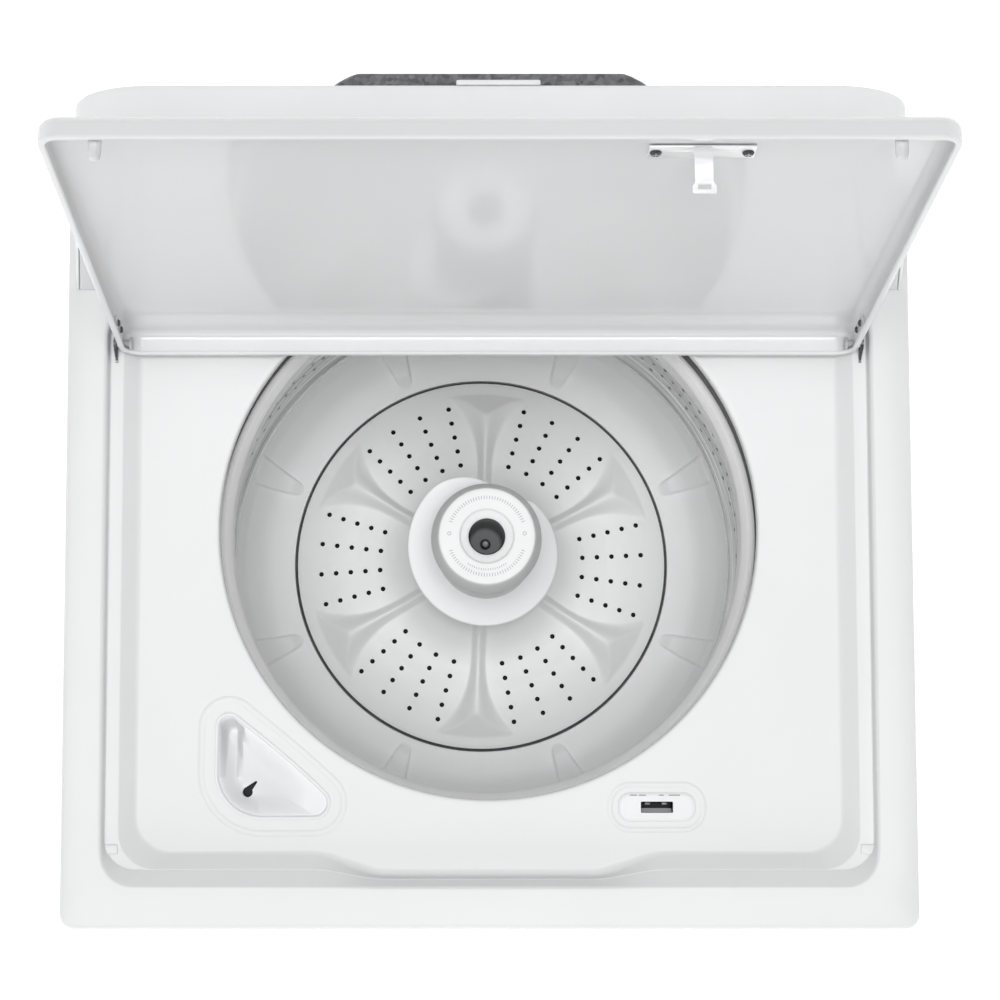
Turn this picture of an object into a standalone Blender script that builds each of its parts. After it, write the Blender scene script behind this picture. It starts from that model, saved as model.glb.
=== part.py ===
"""Top load washing machine with a centre agitator, its lid standing open.

Metres, +Z up, front towards -Y. The floor is z = 0 and x = 0 is the machine's middle plane.
"""
import math

import bmesh
import bpy
from mathutils import Vector

# ---- Driving dimensions -------------------------------------------------------------------
HALF_WIDTH = 0.34925        # across the deck, 27.5 inches in all
FRONT_Y = -0.343            # front edge of the deck
REAR_Y = 0.314              # rear edge of the deck
DECK_Z = 0.914              # top of the deck, 36 inches
GAP = 0.0003                # between pieces that touch
SHEET = 0.0015              # pressed steel
SHELL_T = 0.0012            # the cabinet's wrap
SHELL_GAP = 0.0008          # between the wrap and the deck's skirt
AXIS_Y = -0.015             # the wash axis stands here, on x = 0

LEDGE_Z = DECK_Z - 0.011    # ledge that the lid's rim lies over
FLOOR_Z = DECK_Z - 0.022    # floor of the deck's recess
OPENING_R = 0.224
OPENING_REAR_Y = 0.139      # the opening is cut straight here
LIP_Z = FLOOR_Z - 0.009

PIN_Y = 0.138               # lid hinge axis
PIN_Z = DECK_Z - 0.003
PIN_R = 0.003
LID_OPEN = math.radians(99.5)
LID_HALF_WIDTH = 0.3065
LID_FRONT = -0.429          # from the hinge axis, lid closed
LID_REAR = 0.012
LID_RIM = -0.007
LID_SHEET = 0.002

CONSOLE_FOOT_Y = 0.182      # front face at the deck
CONSOLE_TOP_Y = 0.218       # front face at the top
CONSOLE_H = 0.155
CONSOLE_WALL = 0.003
CONSOLE_BACK_Y = REAR_Y - 0.0015
PORT_END_Y = 0.334          # the two hose ports
DRAIN_END_Y = 0.343         # the drain port reaches as far back as the deck reaches forward

TUB_R = 0.276
TUB_WALL = 0.004
TUB_TOP = 0.8422
TUB_BOTTOM = 0.3925
BASKET_R = 0.2409
BASKET_SHEET = 0.0008
WASH_PLATE_R = 0.1825
WASH_PLATE_Z = 0.507        # its outer edge
AUGER_FOOT_Z = 0.5853
AUGER_TOP_Z = 0.800

ROD_OFFSET = 0.262          # suspension rods, from the wash axis in x and in y
EAR_Z = 0.452
SPRING_FOOT_Z = 0.3915
FRAME_Z = 0.870             # upper frame that the rods hang from

PULLEY_Z = 0.222
PULLEY_R = 0.095
MOTOR_X = 0.165
MOTOR_PULLEY_R = 0.018
BELT_T = 0.004
BELT_GAP = 0.0014           # its flats stay clear of the round pulleys

STRIKE_X = 0.1383           # lid strike and lid lock
STRIKE_Y = -0.245
STRIKE_REACH = 0.035        # below the lid's inner face

FOOT_R = 0.019
BASE_Z = 0.040

FINISHES = {}               # materials by name


# ---- Helpers ------------------------------------------------------------------------------
def material(name, colour, roughness, metallic=0.0):
    """One Principled material for each finish."""
    if name not in FINISHES:
        mat = bpy.data.materials.new(name)
        mat.use_nodes = True
        shader = mat.node_tree.nodes["Principled BSDF"]
        shader.inputs["Base Color"].default_value = (*colour, 1.0)
        shader.inputs["Roughness"].default_value = roughness
        shader.inputs["Metallic"].default_value = metallic
        mat.diffuse_color = (*colour, 1.0)
        FINISHES[name] = mat
    return FINISHES[name]


def white_enamel():
    return material("white_enamel", (0.86, 0.87, 0.88), 0.22)


def white_plastic():
    return material("white_plastic", (0.82, 0.83, 0.84), 0.38)


def grey_plastic():
    return material("grey_plastic", (0.45, 0.46, 0.48), 0.45)


def pale_plastic():
    return material("pale_plastic", (0.62, 0.64, 0.66), 0.42)


def stainless():
    return material("stainless", (0.62, 0.62, 0.63), 0.28, 1.0)


def galvanised():
    return material("galvanised", (0.56, 0.58, 0.60), 0.42, 1.0)


def dark_steel():
    return material("dark_steel", (0.20, 0.21, 0.22), 0.40, 1.0)


def cast_aluminium():
    return material("cast_aluminium", (0.60, 0.61, 0.62), 0.50, 1.0)


def black_rubber():
    return material("black_rubber", (0.03, 0.03, 0.03), 0.75)


def circuit_green():
    return material("circuit_green", (0.04, 0.20, 0.10), 0.50)


def loft(rings, loop=False):
    """Solid through rings of equal point count: closed on itself, or capped at both ends."""
    bm = bmesh.new()
    rows = [[bm.verts.new(point) for point in ring] for ring in rings]
    pairs = list(zip(rows, rows[1:]))
    if loop:
        pairs.append((rows[-1], rows[0]))
    else:
        bm.faces.new(rows[0])
        bm.faces.new(rows[-1])
    count = len(rings[0])
    for low, high in pairs:
        for i in range(count):
            j = (i + 1) % count
            bm.faces.new((low[i], low[j], high[j], high[i]))
    bmesh.ops.recalc_face_normals(bm, faces=bm.faces)
    return bm


def place(name, bm, mat, at=(0, 0, 0), tilt=(0, 0, 0), smooth=True, parent=None):
    """Put a mesh into the scene as a named object."""
    mesh = bpy.data.meshes.new(name)
    bm.to_mesh(mesh)
    bm.free()
    if smooth:
        mesh.shade_smooth()
        mesh.set_sharp_from_angle(angle=math.radians(35))
    obj = bpy.data.objects.new(name, mesh)
    obj.data.materials.append(mat)
    obj.location = at
    obj.rotation_euler = tilt
    obj.parent = parent
    bpy.context.collection.objects.link(obj)
    return obj


def cutter(name, bm, at=(0, 0, 0), tilt=(0, 0, 0), parent=None):
    """A construction body that only feeds a Boolean."""
    obj = place(name, bm, white_enamel(), at, tilt, smooth=False, parent=parent)
    obj.hide_render = True
    obj.display_type = "WIRE"
    return obj


def boolean(obj, tool, operation="DIFFERENCE"):
    step = obj.modifiers.new(operation.lower(), "BOOLEAN")
    step.operation = operation
    step.solver = "EXACT"
    step.object = tool


def circle(radius, z, count, cx=0.0, cy=0.0):
    turn = 2 * math.pi / count
    return [Vector((cx + radius * math.cos(i * turn), cy + radius * math.sin(i * turn), z))
            for i in range(count)]


def turned(profile, count, loop=False):
    """Turn a list of (radius, height) about the local Z axis."""
    return loft([circle(radius, z, count) for radius, z in profile], loop)


def box(x0, x1, y0, y1, z0, z1):
    corners = [(x0, y0), (x1, y0), (x1, y1), (x0, y1)]
    return loft([[Vector((x, y, z)) for x, y in corners] for z in (z0, z1)])


def prism(outline, z0, z1):
    return loft([[Vector((x, y, z)) for x, y in outline] for z in (z0, z1)])


def arc(cx, cy, radius, start, end, steps):
    """Points of an arc, angles in degrees."""
    angles = [math.radians(start + (end - start) * i / steps) for i in range(steps + 1)]
    return [(cx + radius * math.cos(a), cy + radius * math.sin(a)) for a in angles]


def rounded_rectangle(x0, x1, y0, y1, radius, steps):
    return (arc(x1 - radius, y0 + radius, radius, -90, 0, steps)
            + arc(x1 - radius, y1 - radius, radius, 0, 90, steps)
            + arc(x0 + radius, y1 - radius, radius, 90, 180, steps)
            + arc(x0 + radius, y0 + radius, radius, 180, 270, steps))


def pipe(points, radius, sides):
    """Round bar along a smooth curve through the points."""
    curve = [Vector(p) for p in points]
    path = []
    for i in range(len(curve) - 1):
        before = curve[max(i - 1, 0)]
        after = curve[min(i + 2, len(curve) - 1)]
        for step in range(3):
            t = step / 3
            slope_in = (curve[i + 1] - before) / 2
            slope_out = (after - curve[i]) / 2
            path.append(curve[i] * (2 * t**3 - 3 * t**2 + 1) + slope_in * (t**3 - 2 * t**2 + t)
                        + curve[i + 1] * (3 * t**2 - 2 * t**3) + slope_out * (t**3 - t**2))
    path.append(curve[-1])
    rings = []
    across = None
    for i, point in enumerate(path):
        along = (path[min(i + 1, len(path) - 1)] - path[max(i - 1, 0)]).normalized()
        if across is None:
            across = along.orthogonal().normalized()
        across = (across - along * across.dot(along)).normalized()
        other = along.cross(across)
        turn = 2 * math.pi / sides
        rings.append([point + radius * (across * math.cos(k * turn) + other * math.sin(k * turn))
                      for k in range(sides)])
    return loft(rings)


# ---- Cabinet ------------------------------------------------------------------------------
def u_outline(inset):
    """Plan of the front and side wrap, from the rear left flange round to the right one."""
    x = HALF_WIDTH - SHEET - SHELL_GAP - inset
    y0 = FRONT_Y + SHEET + SHELL_GAP + inset
    y1 = REAR_Y - SHEET - SHELL_GAP - inset
    corner = 0.013 - inset
    return ([(-0.31, y1)]
            + arc(-x + corner, y1 - corner, corner, 90, 180, 4)
            + arc(-x + corner, y0 + corner, corner, 180, 270, 4)
            + arc(x - corner, y0 + corner, corner, 270, 360, 4)
            + arc(x - corner, y1 - corner, corner, 0, 90, 4)
            + [(0.31, y1)])


def build_cabinet():
    outline = u_outline(0) + list(reversed(u_outline(SHELL_T)))
    place("cabinet_shell", prism(outline, 0.046, DECK_Z - SHEET - SHELL_GAP), white_enamel(), smooth=False)

    panel = place("rear_panel", box(-0.34, 0.34, REAR_Y - SHEET, REAR_Y - 0.0005, 0.052, LIP_Z - 0.002),
                  galvanised(), smooth=False)
    hole = cutter("cutter_drain_hole", turned([(0.0175, -0.01), (0.0175, 0.01)], 24),
                  (-0.27, REAR_Y - 0.001, 0.80), (math.pi / 2, 0, 0))
    boolean(panel, hole)


def frame_plate(z0, z1, opening_r):
    """Flat steel frame with a round opening about the wash axis."""
    inset = SHEET + SHELL_GAP + SHELL_T + 0.0006
    x = HALF_WIDTH - inset
    y0 = FRONT_Y + inset
    y1 = REAR_Y - inset
    angles = {i * 15.0 for i in range(24)}
    for corner_y in (y0, y1):
        for side in (-1, 1):
            middle = math.degrees(math.atan2(corner_y - AXIS_Y, side * x)) % 360
            angles.update(round(middle + step, 3) for step in (-0.9, 0, 0.9))
    rows = []
    for z in (z0, z1):
        outer = []
        inner = []
        for a in (math.radians(degrees) for degrees in sorted(angles)):
            reach = ray_to_rectangle(a, -x, x, y0, y1, 0.014)
            outer.append(Vector((reach * math.cos(a), AXIS_Y + reach * math.sin(a), z)))
            inner.append(Vector((opening_r * math.cos(a), AXIS_Y + opening_r * math.sin(a), z)))
        rows.append((outer, inner))
    (low_out, low_in), (high_out, high_in) = rows
    return loft([low_out, high_out, high_in, low_in], loop=True)


def scoop_share(x):
    """1 across the middle of the deck's front slope, easing to 0 at the hand scoop's ends."""
    t = max(0.0, min(1.0, (0.146 - abs(x)) / 0.062))
    return t * t * (3 - 2 * t)


def ray_to_rectangle(angle, x0, x1, y0, y1, radius, scoop=0.0):
    """Distance from the wash axis to a rounded rectangle; a scoop pushes its front outwards."""
    dx, dy = math.cos(angle), math.sin(angle)
    near, far = 0.0, 1.0
    for _ in range(40):
        middle = (near + far) / 2
        x, y = middle * dx, AXIS_Y + middle * dy
        px = abs(x - (x0 + x1) / 2) - (x1 - x0) / 2 + radius
        py = max(y - y1, y0 - scoop * scoop_share(x) - y) + radius
        outside = math.hypot(max(px, 0), max(py, 0)) + min(max(px, py), 0) - radius
        if outside > 0:
            far = middle
        else:
            near = middle
    return (near + far) / 2


FOOT_PLACES = {"front_left": (-0.30, -0.30), "front_right": (0.30, -0.30),
               "rear_left": (-0.30, 0.27), "rear_right": (0.30, 0.27)}
ROD_PLACES = {"front_left": (-ROD_OFFSET, AXIS_Y - ROD_OFFSET),
              "front_right": (ROD_OFFSET, AXIS_Y - ROD_OFFSET),
              "rear_left": (-ROD_OFFSET, AXIS_Y + ROD_OFFSET),
              "rear_right": (ROD_OFFSET, AXIS_Y + ROD_OFFSET)}


def build_frames_and_feet():
    base = place("base_frame", frame_plate(BASE_Z, BASE_Z + 0.004, 0.27), galvanised(), smooth=False)
    foot_profile = [(FOOT_R - 0.002, 0), (FOOT_R, 0.002), (FOOT_R, 0.009), (0.012, 0.013),
                    (0.011, 0.020), (0.0048, 0.020), (0.0048, 0.066)]
    for corner, (x, y) in FOOT_PLACES.items():
        place("levelling_foot_" + corner, turned(foot_profile, 14), grey_plastic(), (x, y, 0))
        hole = cutter("cutter_foot_" + corner, turned([(0.0053, -0.01), (0.0053, 0.01)], 16),
                      (x, y, BASE_Z + 0.002))
        boolean(base, hole)

    frame = place("suspension_frame", frame_plate(FRAME_Z, FRAME_Z + 0.002, 0.312), galvanised(),
                  smooth=False)
    rod_profile = [(0.0165, SPRING_FOOT_Z - 0.008), (0.0165, SPRING_FOOT_Z - GAP),
                   (0.0035, SPRING_FOOT_Z - GAP), (0.0035, FRAME_Z + 0.002 + GAP),
                   (0.009, FRAME_Z + 0.002 + GAP), (0.009, FRAME_Z + 0.005), (0.005, FRAME_Z + 0.010)]
    for corner, (x, y) in ROD_PLACES.items():
        place("suspension_rod_" + corner, turned(rod_profile, 12), dark_steel(), (x, y, 0))
        hole = cutter("cutter_rod_" + corner, turned([(0.0045, -0.01), (0.0045, 0.01)], 12),
                      (x, y, FRAME_Z + 0.001))
        boolean(frame, hole)


# ---- Deck ---------------------------------------------------------------------------------
def deck_angles():
    """Directions from the wash axis, closer together at the recess's and the deck's corners."""
    angles = {i * 10.0 for i in range(36)} | {240.0 + i * 5 for i in range(13)}
    cut = math.degrees(math.asin((OPENING_REAR_Y - AXIS_Y) / OPENING_R))
    angles.update((round(cut, 3), round(180 - cut, 3)))
    corners = [(0.316, -0.303, 1.3), (0.316, 0.168, 1.6), (HALF_WIDTH, FRONT_Y, 0.55),
               (HALF_WIDTH, REAR_Y, 0.55)]
    for x, y, spread in corners:
        for side in (-1, 1):
            middle = math.degrees(math.atan2(y - AXIS_Y, side * x)) % 360
            angles.update(round(middle + spread * step, 3) for step in (-1.7, 0, 1.7))
    return [math.radians(a) for a in sorted(angles)]


def opening_ring(angles, grow, z):
    ring = []
    for a in angles:
        reach = OPENING_R + grow
        if math.sin(a) > 0:
            reach = min(reach, (OPENING_REAR_Y + grow - AXIS_Y) / math.sin(a))
        ring.append(Vector((reach * math.cos(a), AXIS_Y + reach * math.sin(a), z)))
    return ring


def plan_ring(angles, half_width, y0, y1, radius, z, scoop=0.0):
    ring = []
    for a in angles:
        reach = ray_to_rectangle(a, -half_width, half_width, y0, y1, radius, scoop)
        ring.append(Vector((reach * math.cos(a), AXIS_Y + reach * math.sin(a), z)))
    return ring


def bleach_outline(grow):
    """Rounded three-cornered well: a tight upper end, a wide lower left turn, a tight right end."""
    return (arc(-0.2149, -0.1757, 0.0104 + grow, 42, 180, 6)
            + arc(-0.1870, -0.2160, 0.0383 + grow, 180, 270, 7)
            + arc(-0.1440, -0.2416, 0.0125 + grow, -90, 48, 6)
            + [(-0.1690 + grow * 0.7, -0.2070 + grow * 0.7)])


def build_deck():
    angles = deck_angles()
    t = SHEET
    # From the opening's lip up over the recess and the rim to the skirt, then back inside.
    rings = [
        opening_ring(angles, 0, LIP_Z),
        opening_ring(angles, 0, FLOOR_Z),
        plan_ring(angles, 0.2910, -0.2826, 0.1650, 0.030, FLOOR_Z, 0.0178),
        plan_ring(angles, 0.3035, -0.2950, 0.1675, 0.030, LEDGE_Z, 0.0080),
        plan_ring(angles, 0.3150, -0.2955, 0.1680, 0.026, LEDGE_Z, 0.0078),
        plan_ring(angles, 0.3160, -0.3090, 0.1700, 0.026, DECK_Z),
        plan_ring(angles, HALF_WIDTH - 0.002, FRONT_Y + 0.002, REAR_Y - 0.002, 0.010, DECK_Z),
        plan_ring(angles, HALF_WIDTH, FRONT_Y, REAR_Y, 0.012, DECK_Z - 0.002),
        plan_ring(angles, HALF_WIDTH, FRONT_Y, REAR_Y, 0.012, LIP_Z),
        plan_ring(angles, HALF_WIDTH - t, FRONT_Y + t, REAR_Y - t, 0.0105, LIP_Z),
        plan_ring(angles, HALF_WIDTH - t, FRONT_Y + t, REAR_Y - t, 0.0105, DECK_Z - t - 0.0005),
        plan_ring(angles, 0.3160 + t, -0.3090 - t, 0.1700 + t, 0.028, DECK_Z - t),
        plan_ring(angles, 0.3150 + t, -0.2955 - t, 0.1680 + t, 0.028, LEDGE_Z - t, 0.0078),
        plan_ring(angles, 0.3035 + t, -0.2950 - t, 0.1675 + t, 0.032, LEDGE_Z - t, 0.0080),
        plan_ring(angles, 0.2910 + t, -0.2826 - t, 0.1650 + t, 0.032, FLOOR_Z - t, 0.0178),
        opening_ring(angles, t, FLOOR_Z - t),
        opening_ring(angles, t, LIP_Z),
    ]
    deck = place("deck_panel", loft(rings, loop=True), white_enamel())
    well = cutter("cutter_bleach", prism(bleach_outline(GAP), FLOOR_Z - 0.006, FLOOR_Z + 0.004))
    boolean(deck, well)
    pocket = cutter("cutter_lock", prism(lock_outline(GAP), FLOOR_Z - 0.006, FLOOR_Z + 0.004))
    boolean(deck, pocket)
    fill = cutter("cutter_fill", turned([(0.0125, -0.01), (0.0125, 0.01)], 16), (0, 0.245, DECK_Z))
    boolean(deck, fill)


def build_bleach_dispenser():
    """White tray under the deck: thin walls, a flange below the sheet and a drain hole."""
    wall = 0.0015
    depth = 0.026

    def level(grow, z):
        return [Vector((x, y, z)) for x, y in bleach_outline(grow)]

    rings = [level(-0.007, FLOOR_Z - depth), level(-0.005, FLOOR_Z - depth + 0.003),
             level(-wall, FLOOR_Z - 0.0003), level(0, FLOOR_Z - 0.0003),
             level(0, FLOOR_Z - SHEET - GAP), level(0.005, FLOOR_Z - SHEET - GAP),
             level(0.005, FLOOR_Z - SHEET - 0.002), level(0, FLOOR_Z - SHEET - 0.002),
             level(-0.0035, FLOOR_Z - depth + 0.001), level(-0.0055, FLOOR_Z - depth - wall)]
    tray = place("bleach_dispenser", loft(rings), white_plastic())
    drain = cutter("cutter_bleach_drain", turned([(0.0042, -0.01), (0.0042, 0.01)], 12),
                   (-0.203, -0.233, FLOOR_Z - depth))
    boolean(tray, drain)


def lock_outline(grow):
    return rounded_rectangle(STRIKE_X - 0.0312 - grow, STRIKE_X + 0.0312 + grow,
                             STRIKE_Y - 0.0112 - grow, STRIKE_Y + 0.0112 + grow, 0.0095 + grow, 4)


BOLT_Z = FLOOR_Z - 0.0048


def build_lid_lock():
    """Lock body under the deck, its bezel flush in the recess floor, and the sliding bolt."""
    body = place("lid_lock_housing",
                 box(STRIKE_X - 0.035, STRIKE_X + 0.037, STRIKE_Y - 0.018, STRIKE_Y + 0.024,
                     FLOOR_Z - 0.028, FLOOR_Z - SHEET - GAP), white_plastic(), smooth=False)
    bezel = cutter("guide_lock_bezel", prism(lock_outline(0), FLOOR_Z - 0.012, FLOOR_Z - 0.0002))
    boolean(body, bezel, "UNION")
    slot = cutter("cutter_lock_slot",
                  box(STRIKE_X - 0.0133, STRIKE_X + 0.0133, STRIKE_Y - 0.0046, STRIKE_Y + 0.0046,
                      FLOOR_Z - 0.018, FLOOR_Z + 0.004))
    boolean(body, slot)
    channel = cutter("cutter_lock_channel",
                     box(STRIKE_X - 0.0033, STRIKE_X + 0.0033, STRIKE_Y + 0.003, STRIKE_Y + 0.0225,
                         BOLT_Z - GAP, BOLT_Z + 0.0024 + GAP))
    boolean(body, channel)
    place("lid_lock_bolt",
          box(-0.0030, 0.0030, 0, 0.0145, 0, 0.0024), dark_steel(),
          (STRIKE_X, STRIKE_Y + 0.0050, BOLT_Z), smooth=False)


# ---- Lid ----------------------------------------------------------------------------------
def lid_top(y):
    """Outer skin, closed and measured from the hinge axis: it rises a little to the rear."""
    return 0.010 + 0.005 * (y - LID_FRONT) / (LID_REAR - LID_FRONT)


def lid_level(inset, height):
    """Outline of the lid, inset all round, at a height that may follow the skin."""
    x, front, rear = LID_HALF_WIDTH, LID_FRONT, LID_REAR
    outline = (arc(x - 0.016, front + 0.016, 0.016 - inset, -90, 0, 4)
               + arc(x - 0.020, rear - 0.020, 0.020 - inset, 0, 90, 5)
               + arc(-x + 0.020, rear - 0.020, 0.020 - inset, 90, 180, 5)
               + arc(-x + 0.016, front + 0.016, 0.016 - inset, 180, 270, 4))
    return [Vector((x, y, height(y))) for x, y in outline]


def lid_empty():
    """Carrier on the hinge axis that stands the lid open."""
    empty = bpy.data.objects.new("lid_hinge_axis", None)
    empty.location = (0, PIN_Y, PIN_Z)
    empty.rotation_euler = (-LID_OPEN, 0, 0)
    bpy.context.collection.objects.link(empty)
    return empty


def build_lid():
    hinge = lid_empty()
    t = LID_SHEET
    rings = [lid_level(t + 0.005, lambda y: lid_top(y) - t),
             lid_level(t, lambda y: lid_top(y) - t - 0.004),
             lid_level(t, lambda y: LID_RIM),
             lid_level(0, lambda y: LID_RIM),
             lid_level(0, lambda y: lid_top(y) - 0.007),
             lid_level(0.002, lambda y: lid_top(y) - 0.002),
             lid_level(0.007, lid_top)]
    lid = place("lid_panel", loft(rings), white_enamel(), parent=hinge)
    build_strike(hinge)
    for side, name in ((-1, "left"), (1, "right")):
        across = (0, side * math.pi / 2, 0)
        pin = [(PIN_R, 0.3115), (PIN_R, 0.2975), (0.0055, 0.2975), (0.0050, 0.2955)]
        place("hinge_pin_" + name, turned(pin, 16), stainless(), tilt=across, parent=hinge)
        hole = cutter("cutter_lid_pin_" + name,
                      turned([(PIN_R + GAP, 0.299), (PIN_R + GAP, 0.31)], 16), tilt=across, parent=hinge)
        boolean(lid, hole)
        bumper = [(0.0050, lid_top(-0.415) - t - GAP), (0.0050, -0.0100), (0.0035, -0.0150),
                  (0.0015, -0.0175)]
        place("lid_bumper_" + name, turned(bumper, 14), pale_plastic(), (side * 0.266, -0.415, 0),
              parent=hinge)
        build_hinge_bracket(side, name)


def build_strike(hinge):
    """Screwed plate with a tongue that drops into the lid lock; the bolt enters its window."""
    tongue_y = STRIKE_Y - PIN_Y
    face = lid_top(tongue_y) - LID_SHEET - 2 * GAP
    strike = place("lid_strike",
                   box(STRIKE_X - 0.0365, STRIKE_X + 0.0365, tongue_y - 0.001, tongue_y + 0.018,
                       face - 0.0016, face), stainless(), smooth=False, parent=hinge)
    tongue = cutter("guide_strike_tongue",
                    box(STRIKE_X - 0.008, STRIKE_X + 0.008, tongue_y - 0.001, tongue_y + 0.001,
                        face - STRIKE_REACH, face - 0.0008), parent=hinge)
    boolean(strike, tongue, "UNION")
    bolt_local_z = BOLT_Z - PIN_Z
    window = cutter("cutter_strike_window",
                    box(STRIKE_X - 0.0045, STRIKE_X + 0.0045, tongue_y - 0.004, tongue_y + 0.004,
                        bolt_local_z - 0.0008, bolt_local_z + 0.0032), parent=hinge)
    boolean(strike, window)


def build_hinge_bracket(side, name):
    """Upright lug on the ledge beside the lid, bored for the hinge pin."""
    foot = LEDGE_Z + GAP - PIN_Z
    outline = [(0.011, foot)] + arc(0, 0, 0.007, 0, 180, 8) + [(-0.011, foot)]
    rings = [[Vector((x, y, z)) for y, z in outline] for x in (side * 0.3085, side * 0.3105)]
    bracket = place("hinge_bracket_" + name, loft(rings), stainless(), (0, PIN_Y, PIN_Z), smooth=False)
    hole = cutter("cutter_bracket_" + name,
                  turned([(PIN_R + GAP, 0.30), (PIN_R + GAP, 0.32)], 16), (0, PIN_Y, PIN_Z),
                  (0, side * math.pi / 2, 0))
    boolean(bracket, hole)


# ---- Console ------------------------------------------------------------------------------
def arch(inset):
    """Right half then left half of the console's front view, from the deck up and over."""
    right = [(0.343 - inset, 0.0), (0.3345 - inset, 0.062)]
    corner = [math.radians(a) for a in (5, 18, 32, 46, 60, 75, 90)]
    right += [(0.262 + (0.068 - inset) * math.cos(a), 0.085 + (0.070 - inset) * math.sin(a))
              for a in corner]
    return right + [(-x, z) for x, z in reversed(right)]


def console_front(z):
    return CONSOLE_FOOT_Y + (CONSOLE_TOP_Y - CONSOLE_FOOT_Y) * z / CONSOLE_H


FASCIA_TILT = math.atan((CONSOLE_TOP_Y - CONSOLE_FOOT_Y) / CONSOLE_H)


def on_deck(x, y, z):
    return Vector((x, y, DECK_Z + GAP + z))


def build_console():
    outer, inner = arch(0), arch(CONSOLE_WALL)
    hood = outer + list(reversed(inner))
    rings = [[on_deck(x, console_front(z), z) for x, z in hood],
             [on_deck(x, CONSOLE_BACK_Y, z) for x, z in hood]]
    place("console_housing", loft(rings), white_plastic(), smooth=False)

    plate = arch(CONSOLE_WALL + GAP)
    rings = [[on_deck(x, console_front(z) + y, z) for x, z in plate] for y in (0.0005, 0.0030)]
    fascia = place("console_fascia", loft(rings), white_plastic(), smooth=False)
    for name, x, radius in CONTROLS:
        hole = cutter("cutter_" + name, turned([(radius, -0.02), (radius, 0.02)], 16),
                      control_place(x), (math.pi / 2 - FASCIA_TILT, 0, 0))
        boolean(fascia, hole)
    build_rear_cover(plate)


def build_rear_cover(plate):
    """Galvanised back of the console with a raised box for the hose connections."""
    back = CONSOLE_BACK_Y
    rings = [[on_deck(x, back - y, z) for x, z in plate] for y in (0.0016, 0.0004)]
    cover = place("console_rear_cover", loft(rings), galvanised(), smooth=False)
    rings = []
    for half, low, high, y in ((0.1417, 0.012, 0.105, back - 0.001), (0.1080, 0.020, 0.100, 0.3375)):
        rings.append([on_deck(-half, y, low), on_deck(half, y, low), on_deck(half, y, high),
                      on_deck(-half, y, high)])
    bulge = cutter("guide_bulge", loft(rings))
    boolean(cover, bulge, "UNION")
    rings = []
    for half, low, high, y in ((0.1387, 0.015, 0.102, back - 0.004), (0.1062, 0.0215, 0.0985, 0.3363)):
        rings.append([on_deck(-half, y, low), on_deck(half, y, low), on_deck(half, y, high),
                      on_deck(-half, y, high)])
    hollow = cutter("cutter_bulge", loft(rings))
    boolean(cover, hollow)
    for name, x, z, radius in REAR_PORTS:
        hole = cutter("cutter_" + name, turned([(radius, -0.01), (radius, 0.01)], 20),
                      on_deck(x, back, z), (math.pi / 2, 0, 0))
        boolean(cover, hole)
    clip = [on_deck(0.005 + x, y, 0.0) for x, y in ((-0.0325, 0), (0.0325, 0))]
    place("console_clip", box(clip[0].x, clip[1].x, back + GAP, 0.3170, DECK_Z + 0.1435, DECK_Z + 0.1550),
          white_plastic(), smooth=False)


CONTROL_HEIGHT = 0.078
CONTROLS = (("option_knob_left", -0.215, 0.0036), ("option_knob_right", -0.100, 0.0036),
            ("start_button", 0.085, 0.0093), ("cycle_knob", 0.205, 0.0036))
REAR_PORTS = (("inlet_hot", 0.235, 0.060, 0.0140), ("inlet_cold", 0.285, 0.060, 0.0140),
              ("cord_gland", -0.270, 0.055, 0.0100))


def control_place(x):
    return on_deck(x, console_front(CONTROL_HEIGHT) + 0.0005, CONTROL_HEIGHT)


def build_controls():
    tilt = (math.pi / 2 - FASCIA_TILT, 0, 0)
    for name, x, radius in CONTROLS:
        if name == "start_button":
            profile = [(0.0090, -0.0070), (0.0090, 0.0035), (0.0080, 0.0045)]
            place(name, turned(profile, 20), pale_plastic(), control_place(x), tilt)
            continue
        size = 0.030 if name == "cycle_knob" else 0.020
        profile = [(0.0033, -0.0120), (0.0033, 0.0008), (size, 0.0008), (size - 0.001, 0.0120),
                   (size - 0.003, 0.0140)]
        knob = place(name, turned(profile, 20), pale_plastic(), control_place(x), tilt)
        grip = cutter("guide_grip_" + name, box(-0.0035, 0.0035, -size * 0.85, size * 0.85,
                                                0.0120, 0.0200), control_place(x), tilt)
        boolean(knob, grip, "UNION")


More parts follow.
